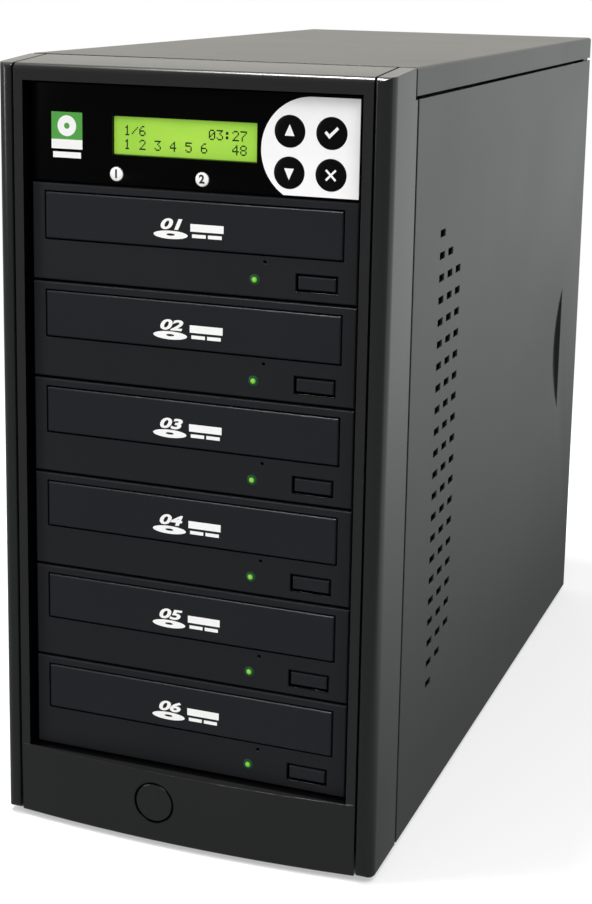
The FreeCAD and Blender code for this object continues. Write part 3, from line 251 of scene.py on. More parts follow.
def make_clean_tree():
    """Geometry nodes that join a model's loose faces, and smooth them up to a set angle."""
    tree, given = start_tree("joined_faces", ("Joined Within", "Float"), ("Smooth Below", "Float"))
    bare = add_node(tree, "GeometryNodeRemoveAttribute", {"Geometry": given[0], "Name": "custom_normal"})
    joined = add_node(tree, "GeometryNodeMergeByDistance",
                      {"Geometry": bare.outputs[0], "Distance": given[1]})
    bend = add_node(tree, "GeometryNodeInputMeshEdgeAngle")
    crease = add_node(tree, "FunctionNodeCompare", {0: bend.outputs[0], 1: given[2]},
                      operation="GREATER_THAN")
    shaded = joined.outputs[0]
    for domain, values in (("FACE", {"Shade Smooth": True}), ("EDGE", {"Shade Smooth": True}),
                           ("EDGE", {"Selection": crease.outputs[0], "Shade Smooth": False})):
        shaded = add_node(tree, "GeometryNodeSetShadeSmooth", {"Geometry": shaded, **values},
                          domain=domain).outputs[0]
    add_node(tree, "NodeGroupOutput", {0: shaded})
    return tree


joined_faces = make_clean_tree()


def set_inputs(modifier, values):
    """Sets a geometry nodes modifier's inputs by the identifiers of their sockets."""
    for socket in modifier.node_group.interface.items_tree:
        if socket.item_type == "SOCKET" and socket.in_out == "INPUT" and socket.name in values:
            modifier[socket.identifier] = values[socket.name]


def dress(node, material, rounding=0.0):
    """Gives a node of the model its material, joined smooth faces and, if asked, rounded edges."""
    piece = frame["nodes"][node]
    for held in piece.material_slots:
        held.material = material
    join = piece.modifiers.new("joined_faces", "NODES")
    join.node_group = joined_faces
    set_inputs(join, {"Joined Within": weld_distance, "Smooth Below": smooth_below})
    if rounding:
        flat = piece.modifiers.new("flat_faces", "DECIMATE")
        flat.decimate_type = "DISSOLVE"
        flat.angle_limit = flat_below
        edge = piece.modifiers.new("rounded_edges", "BEVEL")
        edge.width = rounding
        edge.segments = 2
        edge.limit_method = "ANGLE"
        edge.angle_limit = smooth_below
        edge.harden_normals = True


def make_group(name, inputs, outputs):
    """An empty shader group with named inputs, as (name, kind, value), and outputs."""
    tree = bpy.data.node_groups.new(name, "ShaderNodeTree")
    for title, kind, value in inputs:
        socket = tree.interface.new_socket(title, in_out="INPUT", socket_type=f"NodeSocket{kind}")
        socket.default_value = value
    for title, kind in outputs:
        tree.interface.new_socket(title, in_out="OUTPUT", socket_type=f"NodeSocket{kind}")
    return tree, add_node(tree, "NodeGroupInput").outputs


def noise(tree, scale, detail):
    """Noise from 0 to 1 over an object."""
    return add_node(tree, "ShaderNodeTexNoise", {"Vector": object_place(tree), "Scale": scale,
                                                 "Detail": detail}).outputs["Fac"]


def make_grain():
    """Fine grain of a surface, and a slow drift over it."""
    tree, given = make_group("surface_grain",
                             [("Grain Size", "Float", 0.3 * mm), ("Drift Size", "Float", 60 * mm)],
                             [("Grain", "Float"), ("Drift", "Float")])
    grain = noise(tree, maths(tree, "DIVIDE", 1.0, given[0]), 2.0)
    drift = noise(tree, maths(tree, "DIVIDE", 1.0, given[1]), 3.0)
    add_node(tree, "NodeGroupOutput", {0: grain, 1: drift})
    return tree


def make_edges():
    """Rounded normals near edges, and a broken mask of the places that rub first."""
    tree, given = make_group("rubbed_edges",
                             [("Radius", "Float", 0.4 * mm), ("Patch Size", "Float", 6 * mm)],
                             [("Normal", "Vector"), ("Rubbed", "Float")])
    round_normal = add_node(tree, "ShaderNodeBevel", {"Radius": given[0]}, samples=4).outputs[0]
    flat_normal = add_node(tree, "ShaderNodeNewGeometry").outputs["Normal"]
    bend = ranged(tree, vectors(tree, "DOT_PRODUCT", round_normal, flat_normal), flat_share, bent_share)
    patch = noise(tree, maths(tree, "DIVIDE", 1.0, given[1]), 4.0)
    broken = ranged(tree, patch, whole_patch, worn_patch)
    add_node(tree, "NodeGroupOutput", {0: round_normal, 1: maths(tree, "MULTIPLY", bend, broken)})
    return tree


surface_grain = make_grain()
rubbed_edges = make_edges()


def start_material(name):
    """A new material with its tree and its Principled shader."""
    made = bpy.data.materials.new(name)
    tree = own_tree(made)
    shader = add_node(tree, "ShaderNodeBsdfPrincipled")
    add_node(tree, "ShaderNodeOutputMaterial", {"Surface": shader.outputs[0]})
    return made, tree, shader


def place_group(tree, group, **values):
    """Places a shader group in a material with its own values."""
    made = add_node(tree, "ShaderNodeGroup", node_tree=group)
    for title, value in values.items():
        made.inputs[title.replace("_", " ")].default_value = value
    return made.outputs


def start_surface(name, grain_size, drift_size, edge_radius, patch_size):
    """A new material with its grain and its rubbed edges."""
    made, tree, shader = start_material(name)
    grain = place_group(tree, surface_grain, Grain_Size=grain_size, Drift_Size=drift_size)
    edges = place_group(tree, rubbed_edges, Radius=edge_radius, Patch_Size=patch_size)
    return made, tree, shader, grain, edges


def finished(tree, shader, grain, edges, depth, roughness, spread, rubbed_shine):
    """Links a surface's bump and roughness: drift spreads the roughness, and rubbed edges shine."""
    bump = add_node(tree, "ShaderNodeBump", {"Strength": 1.0, "Distance": depth, "Height": grain["Grain"],
                                             "Normal": edges["Normal"]})
    dull = number_between(tree, grain["Drift"], roughness - spread, roughness + spread)
    feed(tree, shader, {"Normal": bump.outputs[0],
                        "Roughness": number_between(tree, edges["Rubbed"], dull, rubbed_shine)})


def zinc_steel(name, bright, dark, spangle_size):
    """Zinc-coated sheet: metal cells of slightly different grey and gloss, with a fine grain."""
    made, tree, shader, grain, edges = start_surface(name, grain_size=0.25 * mm, drift_size=40 * mm,
                                                     edge_radius=0.3 * mm, patch_size=4 * mm)
    cells = add_node(tree, "ShaderNodeTexVoronoi",
                     {"Vector": object_place(tree), "Scale": 1 / spangle_size, "Randomness": 1.0})
    cell = add_node(tree, "ShaderNodeSeparateColor", {0: cells.outputs["Color"]}).outputs[0]
    coat = colour_between(tree, cell, dark, bright)
    feed(tree, shader, {"Base Color": colour_between(tree, edges["Rubbed"], coat, bright),
                        "Metallic": 1.0})
    finished(tree, shader, grain, edges, depth=0.01 * mm, roughness=0.42, spread=0.10,
             rubbed_shine=0.25)
    return made


chassis_steel = zinc_steel("chassis_steel", (0.62, 0.63, 0.64, 1), (0.47, 0.48, 0.50, 1), 5 * mm)
dress("base_plate", chassis_steel, fold_rounding)
dress("bay_cage", chassis_steel, fold_rounding)

# Feet: four buttons of soft black rubber, turned with a rounded rim and a dished sole, and stuck
# under the floor sheet near its corners.
right_x = Vector((1, 0, 0))
back_y = Vector((0, 1, 0))
up_z = Vector((0, 0, 1))
feet_low, feet_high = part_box("rubber_feet")
foot_radius = 8 * mm
foot_height = feet_high.z - feet_low.z
foot_rim = 1.2 * mm
sole_dish = 0.6 * mm
rim_steps = 5
foot_sides = 48


def coloured(name, sizes, dark, pale, rubbed, depth, roughness, spread, rubbed_shine, gloss=0.5):
    """A surface that drifts from dark to pale, and may take another colour where it rubs.

    Its sizes are those of the grain, the drift, the edges' rounding and the rubbed patches.
    """
    made, tree, shader, grain, edges = start_surface(name, *sizes)
    skin = colour_between(tree, grain["Drift"], (*dark, 1), (*pale, 1))
    if rubbed:
        skin = colour_between(tree, edges["Rubbed"], skin, (*rubbed, 1))
    feed(tree, shader, {"Base Color": skin, "Specular IOR Level": gloss})
    finished(tree, shader, grain, edges, depth, roughness, spread, rubbed_shine)
    return made


def piece_from(name, shape, material):
    """An object at the origin from a finished shape, smooth but for its sharp edges."""
    for edge in shape.edges:
        edge.smooth = len(edge.link_faces) == 2 and edge.calc_face_angle() < smooth_below
    for face in shape.faces:
        face.smooth = True
    mesh = bpy.data.meshes.new(name)
    shape.to_mesh(mesh)
    shape.free()
    mesh.materials.append(material)
    return add_object(name, mesh)


def turned(name, profile, place, across, up, sides, material):
    """A solid turned about the axis across x up: profile has (radius, height) from axis to axis."""
    shape = bmesh.new()
    axis = across.cross(up)
    rings = []
    for radius, height in profile:
        if radius == 0:
            rings.append([shape.verts.new(place + axis * height)])
            continue
        turns = [step * math.tau / sides for step in range(sides)]
        spokes = [radius * (math.cos(turn) * across + math.sin(turn) * up) for turn in turns]
        rings.append([shape.verts.new(place + axis * height + spoke) for spoke in spokes])
    for first, second in zip(rings, rings[1:]):
        for step in range(sides):
            after = (step + 1) % sides
            around = [first[step % len(first)], first[after % len(first)],
                      second[after % len(second)], second[step % len(second)]]
            shape.faces.new(list(dict.fromkeys(around)))
    bmesh.ops.recalc_face_normals(shape, faces=shape.faces)
    return piece_from(name, shape, material)


def fixed(piece, body, slot, *nodes):
    """Lets a piece ride on a body, in place of the nodes that it stands for. The slot is not used."""
    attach(piece, body)
    if nodes:
        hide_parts(*nodes)


foot_rubber = coloured("foot_rubber", (0.4 * mm, 8 * mm, 0.6 * mm, 2 * mm), (0.012, 0.012, 0.012),
                       (0.035, 0.034, 0.032), None, depth=0.02 * mm, roughness=0.75, spread=0.08,
                       rubbed_shine=0.6)
foot_profile = [(0, sole_dish), (foot_radius * 0.35, sole_dish), (foot_radius * 0.5, 0)]
foot_profile += [(foot_radius - foot_rim + foot_rim * math.sin(turn), foot_rim - foot_rim * math.cos(turn))
                 for turn in (step * math.pi / 2 / rim_steps for step in range(rim_steps + 1))]
foot_profile += [(foot_radius, foot_height), (0, foot_height)]
for side, x in (("left", feet_low.x + foot_radius), ("right", feet_high.x - foot_radius)):
    for end, y in (("front", feet_low.y + foot_radius), ("rear", feet_high.y - foot_radius)):
        place = Vector((x, y, 0))
        foot = turned(f"{side}_{end}_foot", foot_profile, place, right_x, back_y, foot_sides, foot_rubber)
        fixed(foot, "chassis", "foot_rubber", "rubber_feet")

# Power supply: a folded steel box that holds its own fan and the mains switch, both moulded in
# black plastic, with a foil sticker on the fan's hub. Two of the fan's screws show beside the inlet.
rotor_low, rotor_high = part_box("power_supply_fan_rotor")
rocker_low, rocker_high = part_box("power_rocker")
supply_low, supply_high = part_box("power_supply")
supply_fan = (rotor_low + rotor_high) / 2
supply_sheet = 1 * mm
fan_rear_gap = 2 * mm
supply_inner_y = rotor_high.y + fan_rear_gap
supply_rear_y = supply_inner_y + supply_sheet
fan_corner = Vector((40.2 * mm, 0, 40.2 * mm))
switch_rim = 3.3 * mm
switch_depth = 12 * mm
switch_proud = 2 * mm
switch_black = (0.011, 0.011, 0.011, 1)
sticker_radius = 13 * mm
sticker_thick = 0.12 * mm
sticker_sides = 64
screw_sides = 28
screw_skirt = 0.1 * mm
screw_spread = 35.75 * mm
facing_rear = (-math.pi / 2, 0, 0)


def make_room_mask():
    """One inside a box given by its lowest and highest corners, and nothing outside it."""
    tree, given = make_group("room_mask", [("Low", "Vector", (0, 0, 0)), ("High", "Vector", (0, 0, 0))],
                             [("Inside", "Float")])
    place = object_place(tree)
    least = vectors(tree, "MINIMUM", vectors(tree, "SUBTRACT", place, given[0]),
                    vectors(tree, "SUBTRACT", given[1], place))
    parts = add_node(tree, "ShaderNodeSeparateXYZ", {0: least}).outputs
    lowest = maths(tree, "MINIMUM", maths(tree, "MINIMUM", parts[0], parts[1]), parts[2])
    add_node(tree, "NodeGroupOutput", {0: maths(tree, "GREATER_THAN", lowest, 0.0)})
    return tree


def moulding(name, dark, pale, rubbed, roughness, gloss=0.5, grain_size=0.22 * mm, grain_depth=0.008 * mm):
    """Moulded plastic with a fine etched grain, and edges polished by handling."""
    return coloured(name, (grain_size, 70 * mm, 0.35 * mm, 7 * mm), dark, pale, rubbed, grain_depth,
                    roughness, spread=0.04, rubbed_shine=roughness - 0.12, gloss=gloss)


def change_where(tree, mask, colour, dull):
    """Changes a material's colour and roughness where a mask is one."""
    shader = tree.nodes["Principled BSDF"]
    skin = shader.inputs["Base Color"].links[0].from_socket
    shine = shader.inputs["Roughness"].links[0].from_socket
    feed(tree, shader, {"Base Color": colour_between(tree, mask, skin, colour),
                        "Roughness": number_between(tree, mask, shine, dull)})


def hub_sticker(name, node, body):
    """A bare round foil sticker on the rear of a fan's hub."""
    low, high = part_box(node)
    profile = [(sticker_radius * share, sticker_thick * rise)
               for share, rise in ((0, 1), (0.3, 1), (0.32, 1.6), (0.86, 1.6), (0.88, 1), (1, 0.7),
                                   (1, -1), (0, -1))]
    place = Vector(((low.x + high.x) / 2, high.y, (low.z + high.z) / 2))
    fixed(turned(name, profile, place, -right_x, up_z, sticker_sides, foil), body, "fan_plastic")


def evaluated(piece):
    """The mesh of an object as it is seen, its modifiers applied."""
    depsgraph = bpy.context.evaluated_depsgraph_get()
    depsgraph.update()
    return bpy.data.meshes.new_from_object(piece.evaluated_get(depsgraph))


def on_points(name, tree, places, values, body, slot):
    """One plain mesh that a tree makes on loose points, riding on a body."""
    points = bpy.data.meshes.new(name)
    points.from_pydata([tuple(place) for place in places], [], [])
    worker = add_object(name, points)
    modifier = worker.modifiers.new(name, "NODES")
    modifier.node_group = tree
    set_inputs(modifier, values)
    mesh = evaluated(worker)
    worker.modifiers.remove(modifier)
    bpy.data.objects.remove(worker)
    fixed(add_object(name, mesh), body, slot)


def end_point_tree(tree, given, pattern, **more):
    """Ends a tree of points: the pattern set on each one, made plain mesh, with its finish."""
    copies = add_node(tree, "GeometryNodeInstanceOnPoints",
                      {"Points": given["Geometry"], "Instance": pattern, **more})
    solid = add_node(tree, "GeometryNodeRealizeInstances", {0: copies.outputs[0]})
    coated = add_node(tree, "GeometryNodeSetMaterial",
                      {0: solid.outputs[0], "Material": given["Finish"]})
    add_node(tree, "NodeGroupOutput", {0: coated.outputs[0]})
    return tree


def make_screw_tree():
    """Geometry nodes that set a screw head on each point, each turned by its own chance angle."""
    tree, given = start_tree("set_screws", ("Head", "Object"), ("Lean", "Rotation"), ("Seed", "Int"),
                             ("Finish", "Material"))
    head = add_node(tree, "GeometryNodeObjectInfo", {"Object": given["Head"]})
    chance = add_node(tree, "FunctionNodeRandomValue",
                      {"Min": 0.0, "Max": math.tau, "Seed": given["Seed"]})
    turn = add_node(tree, "ShaderNodeCombineXYZ", {"Z": chance.outputs["Value"]})
    own = add_node(tree, "FunctionNodeEulerToRotation", {0: turn.outputs[0]})
    whole = add_node(tree, "FunctionNodeRotateRotation",
                     {"Rotation": own.outputs[0], "Rotate By": given["Lean"]}, rotation_space="GLOBAL")
    return end_point_tree(tree, given, head.outputs["Geometry"], Rotation=whole.outputs[0])


def screw_head(radius, height):
    """The mesh of a pan head with a cross recess, standing on the origin along Z."""
    profile = [(radius * share, height * rise)
               for share, rise in ((0, 1), (0.45, 0.98), (0.7, 0.88), (0.88, 0.66), (0.97, 0.38), (1, 0.1))]
    profile += [(radius, -screw_skirt), (0, -screw_skirt)]
    head = turned("screw_head", profile, Vector(), right_x, back_y, screw_sides, screw_zinc)
    recess = bmesh.new()
    for turn in (0, math.pi / 2):
        bar = bmesh.ops.create_cube(recess, size=1)["verts"]
        size = Matrix.Diagonal((radius * 1.15, radius * 0.3, height * 1.1, 1))
        place = Matrix.Translation((0, 0, height)) @ Matrix.Rotation(turn, 4, "Z") @ size
        bmesh.ops.transform(recess, matrix=place, verts=bar)
    cutter = piece_from("screw_recess", recess, screw_zinc)
    cut = head.modifiers.new("recess", "BOOLEAN")
    cut.operation = "DIFFERENCE"
    cut.object = cutter
    cut.solver = "EXACT"
    cut.use_self = True
    mesh = evaluated(head)
    bpy.data.objects.remove(head)
    bpy.data.objects.remove(cutter)
    return mesh


def set_screws(name, head, places, seed):
    """Screw heads on a list of places of the chassis that face the rear, made one plain mesh."""
    pattern = bpy.data.objects.new("pattern_head", head)
    values = {"Head": pattern, "Lean": facing_rear, "Seed": seed, "Finish": screw_zinc}
    on_points(name, screw_tree, places, values, "chassis", "screw_nickel")
    bpy.data.objects.remove(pattern)


room_mask = make_room_mask()
supply_steel = zinc_steel("supply_steel", (0.55, 0.56, 0.57, 1), (0.42, 0.43, 0.45, 1), 4 * mm)
tree = supply_steel.node_tree
fan_front = Vector((supply_fan.x, supply_low.y + supply_sheet * 2, supply_fan.z))
fan_rear = Vector((supply_fan.x, supply_inner_y, supply_fan.z))
fan_room = place_group(tree, room_mask, Low=fan_front - fan_corner, High=fan_rear + fan_corner)[0]
switch_room = place_group(tree, room_mask, Low=rocker_low - Vector((switch_rim, switch_depth, switch_rim)),
                          High=rocker_high + Vector((switch_rim, switch_proud, switch_rim)))[0]
plastic = maths(tree, "MAXIMUM", fan_room, switch_room)
change_where(tree, plastic, switch_black, 0.5)
feed(tree, tree.nodes["Principled BSDF"], {"Metallic": number_between(tree, plastic, 1.0, 0.0)})
dress("power_supply", supply_steel)

fan_plastic = moulding("fan_plastic", (0.010, 0.010, 0.010), (0.014, 0.014, 0.014), (0.03, 0.03, 0.03),
                       0.5)
dress("power_supply_fan_rotor", fan_plastic)
foil, tree, shader = start_material("sticker_foil")
brush = noise(tree, 1 / (0.8 * mm), 3.0)
brushed = colour_between(tree, brush, (0.48, 0.49, 0.50, 1), (0.66, 0.67, 0.68, 1))
feed(tree, shader, {"Base Color": brushed, "Roughness": number_between(tree, brush, 0.22, 0.38),
                    "Metallic": 0.8})
hub_sticker("supply_fan_sticker", "power_supply_fan_rotor", "supply_fan")

screw_zinc = zinc_steel("screw_zinc", (0.66, 0.66, 0.64, 1), (0.55, 0.55, 0.54, 1), 1.2 * mm)
screw_tree = make_screw_tree()
places = [(supply_fan.x - screw_spread, supply_rear_y, supply_fan.z + side * screw_spread)
          for side in (-1, 1)]
set_screws("supply_fan_screws", screw_head(2.1 * mm, 1.2 * mm), places, 3)

# Mains inlet: a shell moulded in black plastic, clipped into the supply's rear wall. Three
# nickel-plated blades stand up from its floor.
inlet_plastic = moulding("inlet_plastic", (0.012, 0.012, 0.012), (0.018, 0.018, 0.018),
                         (0.04, 0.04, 0.04), 0.45)
blade_nickel = zinc_steel("blade_nickel", (0.72, 0.70, 0.66, 1), (0.64, 0.62, 0.58, 1), 2 * mm)
inlet_low, inlet_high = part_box("power_inlet")
inlet_middle = (inlet_low + inlet_high) / 2
blade_floor = 2 * mm
blade_size = Vector((2 * mm, 12 * mm, 4 * mm))
blade_skin = Vector((0.12 * mm, 0.12 * mm, 0.12 * mm))
blade_y = inlet_low.y + blade_floor + blade_size.y / 2
tip_start = inlet_middle.y - 3 * mm
dress("power_inlet", inlet_plastic, fold_rounding)
blades = bmesh.new()
for across, lift in ((-7 * mm, -2 * mm), (7 * mm, -2 * mm), (0, 2 * mm)):
    made = bmesh.ops.create_cube(blades, size=1)["verts"]
    middle = Vector((inlet_middle.x + across, blade_y, inlet_middle.z + lift))
    size = Matrix.Diagonal((*(blade_size + blade_skin), 1))
    bmesh.ops.transform(blades, matrix=Matrix.Translation(middle) @ size, verts=made)
tips = [edge for edge in blades.edges if min(corner.co.y for corner in edge.verts) > tip_start]
bmesh.ops.bevel(blades, geom=tips, offset=0.5 * mm, segments=3, affect="EDGES", profile=0.5)
fixed(piece_from("inlet_blades", blades, blade_nickel), "chassis", "inlet_plastic")

# Mains rocker: a key moulded in glossy black plastic that tips on two stub pins, with the plain
# line and ring of on and off pressed white into its two faces.
rest_tilt = math.radians(8)
crown = 2.6 * mm
valley = 1.3 * mm
reach = 8 * mm
lean = math.atan2(crown - valley, reach)
mark_thick = 0.3 * mm
mark_proud = 0.03 * mm
thin_ink = 0.94


def ellipse(x, z, half_width, half_height, sides=56):
    """A closed flattened round outline."""
    return [(x + half_width * math.cos(turn), z + half_height * math.sin(turn))
            for turn in (step * math.tau / sides for step in range(sides))]


def circle(x, z, radius):
    """A closed round outline."""
    return ellipse(x, z, radius, radius, 48)


def square(x0, x1, z0, z1):
    """A closed oblong outline."""
    return [(x0, z0), (x1, z0), (x1, z1), (x0, z1)]


def placed_curve(name, curve, thickness, place, material):
    """A flat curve or text made a mesh, stood up to face the front, and then placed."""
    drawn = add_object(name, curve)
    mesh = evaluated(drawn)
    bpy.data.objects.remove(drawn)
    shape = bmesh.new()
    shape.from_mesh(mesh)
    bpy.data.meshes.remove(mesh)
    bmesh.ops.remove_doubles(shape, verts=shape.verts, dist=0.001 * mm)
    bmesh.ops.recalc_face_normals(shape, faces=shape.faces)
    stand = Matrix.Rotation(math.pi / 2, 4, "X") @ Matrix.Translation((0, 0, -thickness / 2))
    bmesh.ops.transform(shape, matrix=place @ stand, verts=shape.verts)
    return piece_from(name, shape, material)


def flat_shape(name, outlines, thickness, place, material, rim=0.0):
    """A thin plate from closed outlines, seen in x and z, its face at y 0, set by a matrix."""
    curve = bpy.data.curves.new(name, "CURVE")
    curve.dimensions = "2D"
    curve.fill_mode = "BOTH"
    curve.extrude = thickness / 2 - rim
    curve.bevel_depth = rim
    curve.offset = -rim
    for outline in outlines:
        spline = curve.splines.new("POLY")
        spline.points.add(len(outline) - 1)
        for point, (x, z) in zip(spline.points, outline):
            point.co = (x, z, 0, 1)
        spline.use_cyclic_u = True
    return placed_curve(name, curve, thickness, place, material)


def printed(name, colour, roughness):
    """Screen-printed ink: opaque, and slightly uneven in its tone and gloss."""
    thin = [thin_ink * part for part in colour]
    return coloured(name, (0.15 * mm, 12 * mm, 0.02 * mm, 3 * mm), thin, colour, None,
                    depth=0.002 * mm, roughness=roughness, spread=0.05, rubbed_shine=roughness)


rocker_plastic = moulding("rocker_plastic", (0.010, 0.010, 0.010), (0.012, 0.012, 0.012),
                          (0.04, 0.04, 0.04), 0.25)
white_ink = printed("white_ink", (0.90, 0.90, 0.89), 0.45)
dress("power_rocker", rocker_plastic)
joints = {joint["name"]: joint for joint in frame["record"]["behaviour"]["joints"]}
rocker_tilt = Matrix.Translation(joints["rocker_tilt"]["pos_m"]) @ Matrix.Rotation(rest_tilt, 4, "X")
for name, side, outlines in (("off_mark", 1, [circle(0, 0, 1.7 * mm), circle(0, 0, 1.15 * mm)]),
                             ("on_mark", -1, [square(-0.3 * mm, 0.3 * mm, -1.7 * mm, 1.7 * mm)])):
    face = Matrix.Translation((0, (crown + valley) / 2 + mark_proud, side * reach / 2))
    place = rocker_tilt @ face @ Matrix.Rotation(-side * lean, 4, "X") @ Matrix.Rotation(math.pi, 4, "Z")
    fixed(flat_shape(name, outlines, mark_thick, place, white_ink), "rocker", "rocker_plastic")

# Exhaust fan: a square frame and a seven-blade rotor, both moulded in black plastic, screwed behind
# the rear panel's stamped guard. A foil sticker covers the rotor's hub.
dress("fan_frame", fan_plastic, rounding=0.25 * mm)
dress("fan_rotor", fan_plastic)
hub_sticker("case_fan_sticker", "fan_rotor", "case_fan")

# Disc drives, six alike: a casing of bright steel with the loader inside, a moulded front, a tray
# with its own front, an eject button in a recess darkened by painted shade, and a lamp.
# Each front has plain marks.
drives = range(1, 7)
# Painted shade: a near-black, glossier colour put into recesses and gaps where shade falls.
painted_shade_colour = (0.0008, 0.0008, 0.0009, 1)
recess_gloss = 0.14
recess_margin = Vector((-0.25 * mm, 8 * mm, -0.25 * mm))
lamp_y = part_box("drive_leds")[0].y
lamp_radius = 1.4 * mm
lamp_inset = 44.7 * mm
lamp_lift = 7.4 * mm
lamp_sides = 28
print_thick = 0.06 * mm
print_proud = 0.025 * mm
disc_x = -8.6 * mm
disc_z = -14.6 * mm
number_height = 4.3 * mm
number_width = 1.7
number_lean = 0.25
numeral_share = 0.7
numeral_weight = 0.05
lens_profile = [(lamp_radius * share, height * mm)
                for share, height in ((0, 0.42), (0.45, 0.38), (0.8, 0.22), (1, 0.02), (1.03, -0.1),
                                      (1.03, -0.35), (0, -0.35))]
ring_profile = [(lamp_radius * share, height * mm)
                for share, height in ((1.07, 0.05), (1.15, 0.12), (1.5, 0.10), (1.62, 0.02), (1.62, -0.1),
                                      (1.07, -0.1), (1.07, 0.05))]
disc_mark = [ellipse(disc_x, disc_z, 7.8 * mm, 1.75 * mm),
             ellipse(disc_x, disc_z + 0.1 * mm, 1.9 * mm, 0.5 * mm)]
bars = [square(0.4 * mm, 15.4 * mm, -12.6 * mm, -9.4 * mm),
        square(1.2 * mm, 7.4 * mm, -15.2 * mm, -13.7 * mm),
        square(8.4 * mm, 14.6 * mm, -15.2 * mm, -13.7 * mm)]

drive_steel = zinc_steel("drive_steel", (0.60, 0.61, 0.62, 1), (0.50, 0.51, 0.53, 1), 3 * mm)
drive_plastic = moulding("drive_plastic", (0.0085, 0.0090, 0.0108), (0.0105, 0.0110, 0.0132),
                         (0.035, 0.036, 0.040), 0.42, gloss=0.3)
tree = drive_plastic.node_tree
# Painted shade in the recess round each eject button, on the drive fronts.
darker = 0.0
for drive in drives:
    low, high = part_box(f"drive_{drive}_eject_button")
    recess = place_group(tree, room_mask, Low=low - recess_margin, High=high + recess_margin)[0]
    darker = maths(tree, "MAXIMUM", darker, recess)
change_where(tree, darker, painted_shade_colour, recess_gloss)
tray_plastic = moulding("tray_plastic", (0.016, 0.016, 0.018), (0.022, 0.022, 0.024),
                        (0.05, 0.05, 0.05), 0.55)
tray_front_plastic = moulding("tray_front_plastic", (0.0085, 0.0091, 0.0118), (0.0105, 0.0112, 0.0142),
                              (0.060, 0.062, 0.066), 0.34, gloss=0.35)
# Dark green of the ring round each lens: painted shade of the lamp's recess.
lamp_recess_shade = moulding("lamp_recess_shade", (0.006, 0.045, 0.016), (0.008, 0.06, 0.02), (0.02, 0.09, 0.04), 0.3)
lamp_green = moulding("lamp_green", (0.12, 0.40, 0.10), (0.15, 0.45, 0.12), (0.2, 0.5, 0.15), 0.2)
# The lamp's lens: its own green glow, palest at the middle, and painted shade darkening it toward the
# dome's edge.
lamp_lens, tree, shader = start_material("lamp_lens")
from_middle = add_node(tree, "ShaderNodeAttribute", attribute_name="from_middle").outputs["Fac"]
ramp = add_node(tree, "ShaderNodeValToRGB", {"Fac": from_middle})
stops = ramp.color_ramp.elements
stops[0].color = (0.34, 0.55, 0.07, 1)
stops[1].color = (0.008, 0.08, 0.012, 1)
stops.new(0.6).color = (0.15, 0.46, 0.05, 1)
feed(tree, shader, {"Base Color": ramp.outputs[0], "Emission Color": ramp.outputs[0],
                    "Emission Strength": 0.15, "Specular IOR Level": 0.15,
                    "Roughness": number_between(tree, from_middle, 0.3, 0.4)})


def numeral(name, text, height, thickness, place, material, wide=1.0, lean=0.0):
    """A plain printed number, its middle at the place."""
    curve = bpy.data.curves.new(name, "FONT")
    curve.body = text
    curve.size = height / numeral_share
    curve.shear = lean
    curve.offset = height * numeral_weight
    curve.extrude = thickness / 2
    curve.align_x = "CENTER"
    curve.align_y = "CENTER"
    curve.resolution_u = 4
    return placed_curve(name, curve, thickness, place @ Matrix.Diagonal((wide, 1, 1, 1)), material)


def mark_from_middle(piece, middle, radius):
    """Stores on a turned piece how far each point lies from its axis, as a share of its radius."""
    shares = piece.data.attributes.new("from_middle", "FLOAT", "POINT")
    for point, share in zip(piece.data.vertices, shares.data):
        share.value = min(1.0, math.hypot(point.co.x - middle.x, point.co.z - middle.z) / radius)


for drive in drives:
    dress(f"drive_{drive}_housing", drive_steel)
    dress(f"drive_{drive}_bezel", drive_plastic, rounding=0.22 * mm)
    dress(f"drive_{drive}_tray", tray_plastic, rounding=0.25 * mm)
    dress(f"drive_{drive}_tray_front", tray_front_plastic, rounding=0.3 * mm)
    dress(f"drive_{drive}_eject_button", tray_front_plastic, rounding=0.28 * mm)
    low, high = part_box(f"drive_{drive}_bezel")
    lamp = Vector((high.x - lamp_inset, lamp_y, low.z + lamp_lift))
    lens = turned(f"drive_{drive}_lens", lens_profile, lamp, right_x, up_z, lamp_sides, lamp_lens)
    mark_from_middle(lens, lamp, lamp_radius)
    fixed(lens, "chassis", "lamp_green")
    # A thin dark ring round each lens stands for the shade in the lamp's recess: painted shade.
    seat = Vector((lamp.x, low.y, lamp.z))
    ring = turned(f"drive_{drive}_lamp_ring", ring_profile, seat, right_x, up_z, lamp_sides, lamp_recess_shade)
    fixed(ring, "chassis", "drive_plastic")
    low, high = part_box(f"drive_{drive}_tray_front")
    face = Matrix.Translation((0, low.y - print_proud, high.z))
    above = face @ Matrix.Translation((disc_x, 0, disc_z + number_height))
    for mark in (flat_shape(f"tray_{drive}_disc_mark", disc_mark, print_thick, face, white_ink),
                 numeral(f"tray_{drive}_number", f"0{drive}", number_height, print_thick, above, white_ink,
                         number_width, number_lean),
                 flat_shape(f"tray_{drive}_bars", bars, print_thick, face, white_ink)):
        fixed(mark, f"tray_{drive}", "drive_plastic")
dress("drive_leds", lamp_green)

# Controller behind the top bay: an open steel tray, and a green main board on edge with the key
# switches, chips and drive sockets.
board_green = moulding("board_green", (0.01, 0.07, 0.03), (0.02, 0.12, 0.05), (0.1, 0.2, 0.1), 0.35)
dress("controller_case", drive_steel, fold_rounding)
dress("controller_board", board_green)

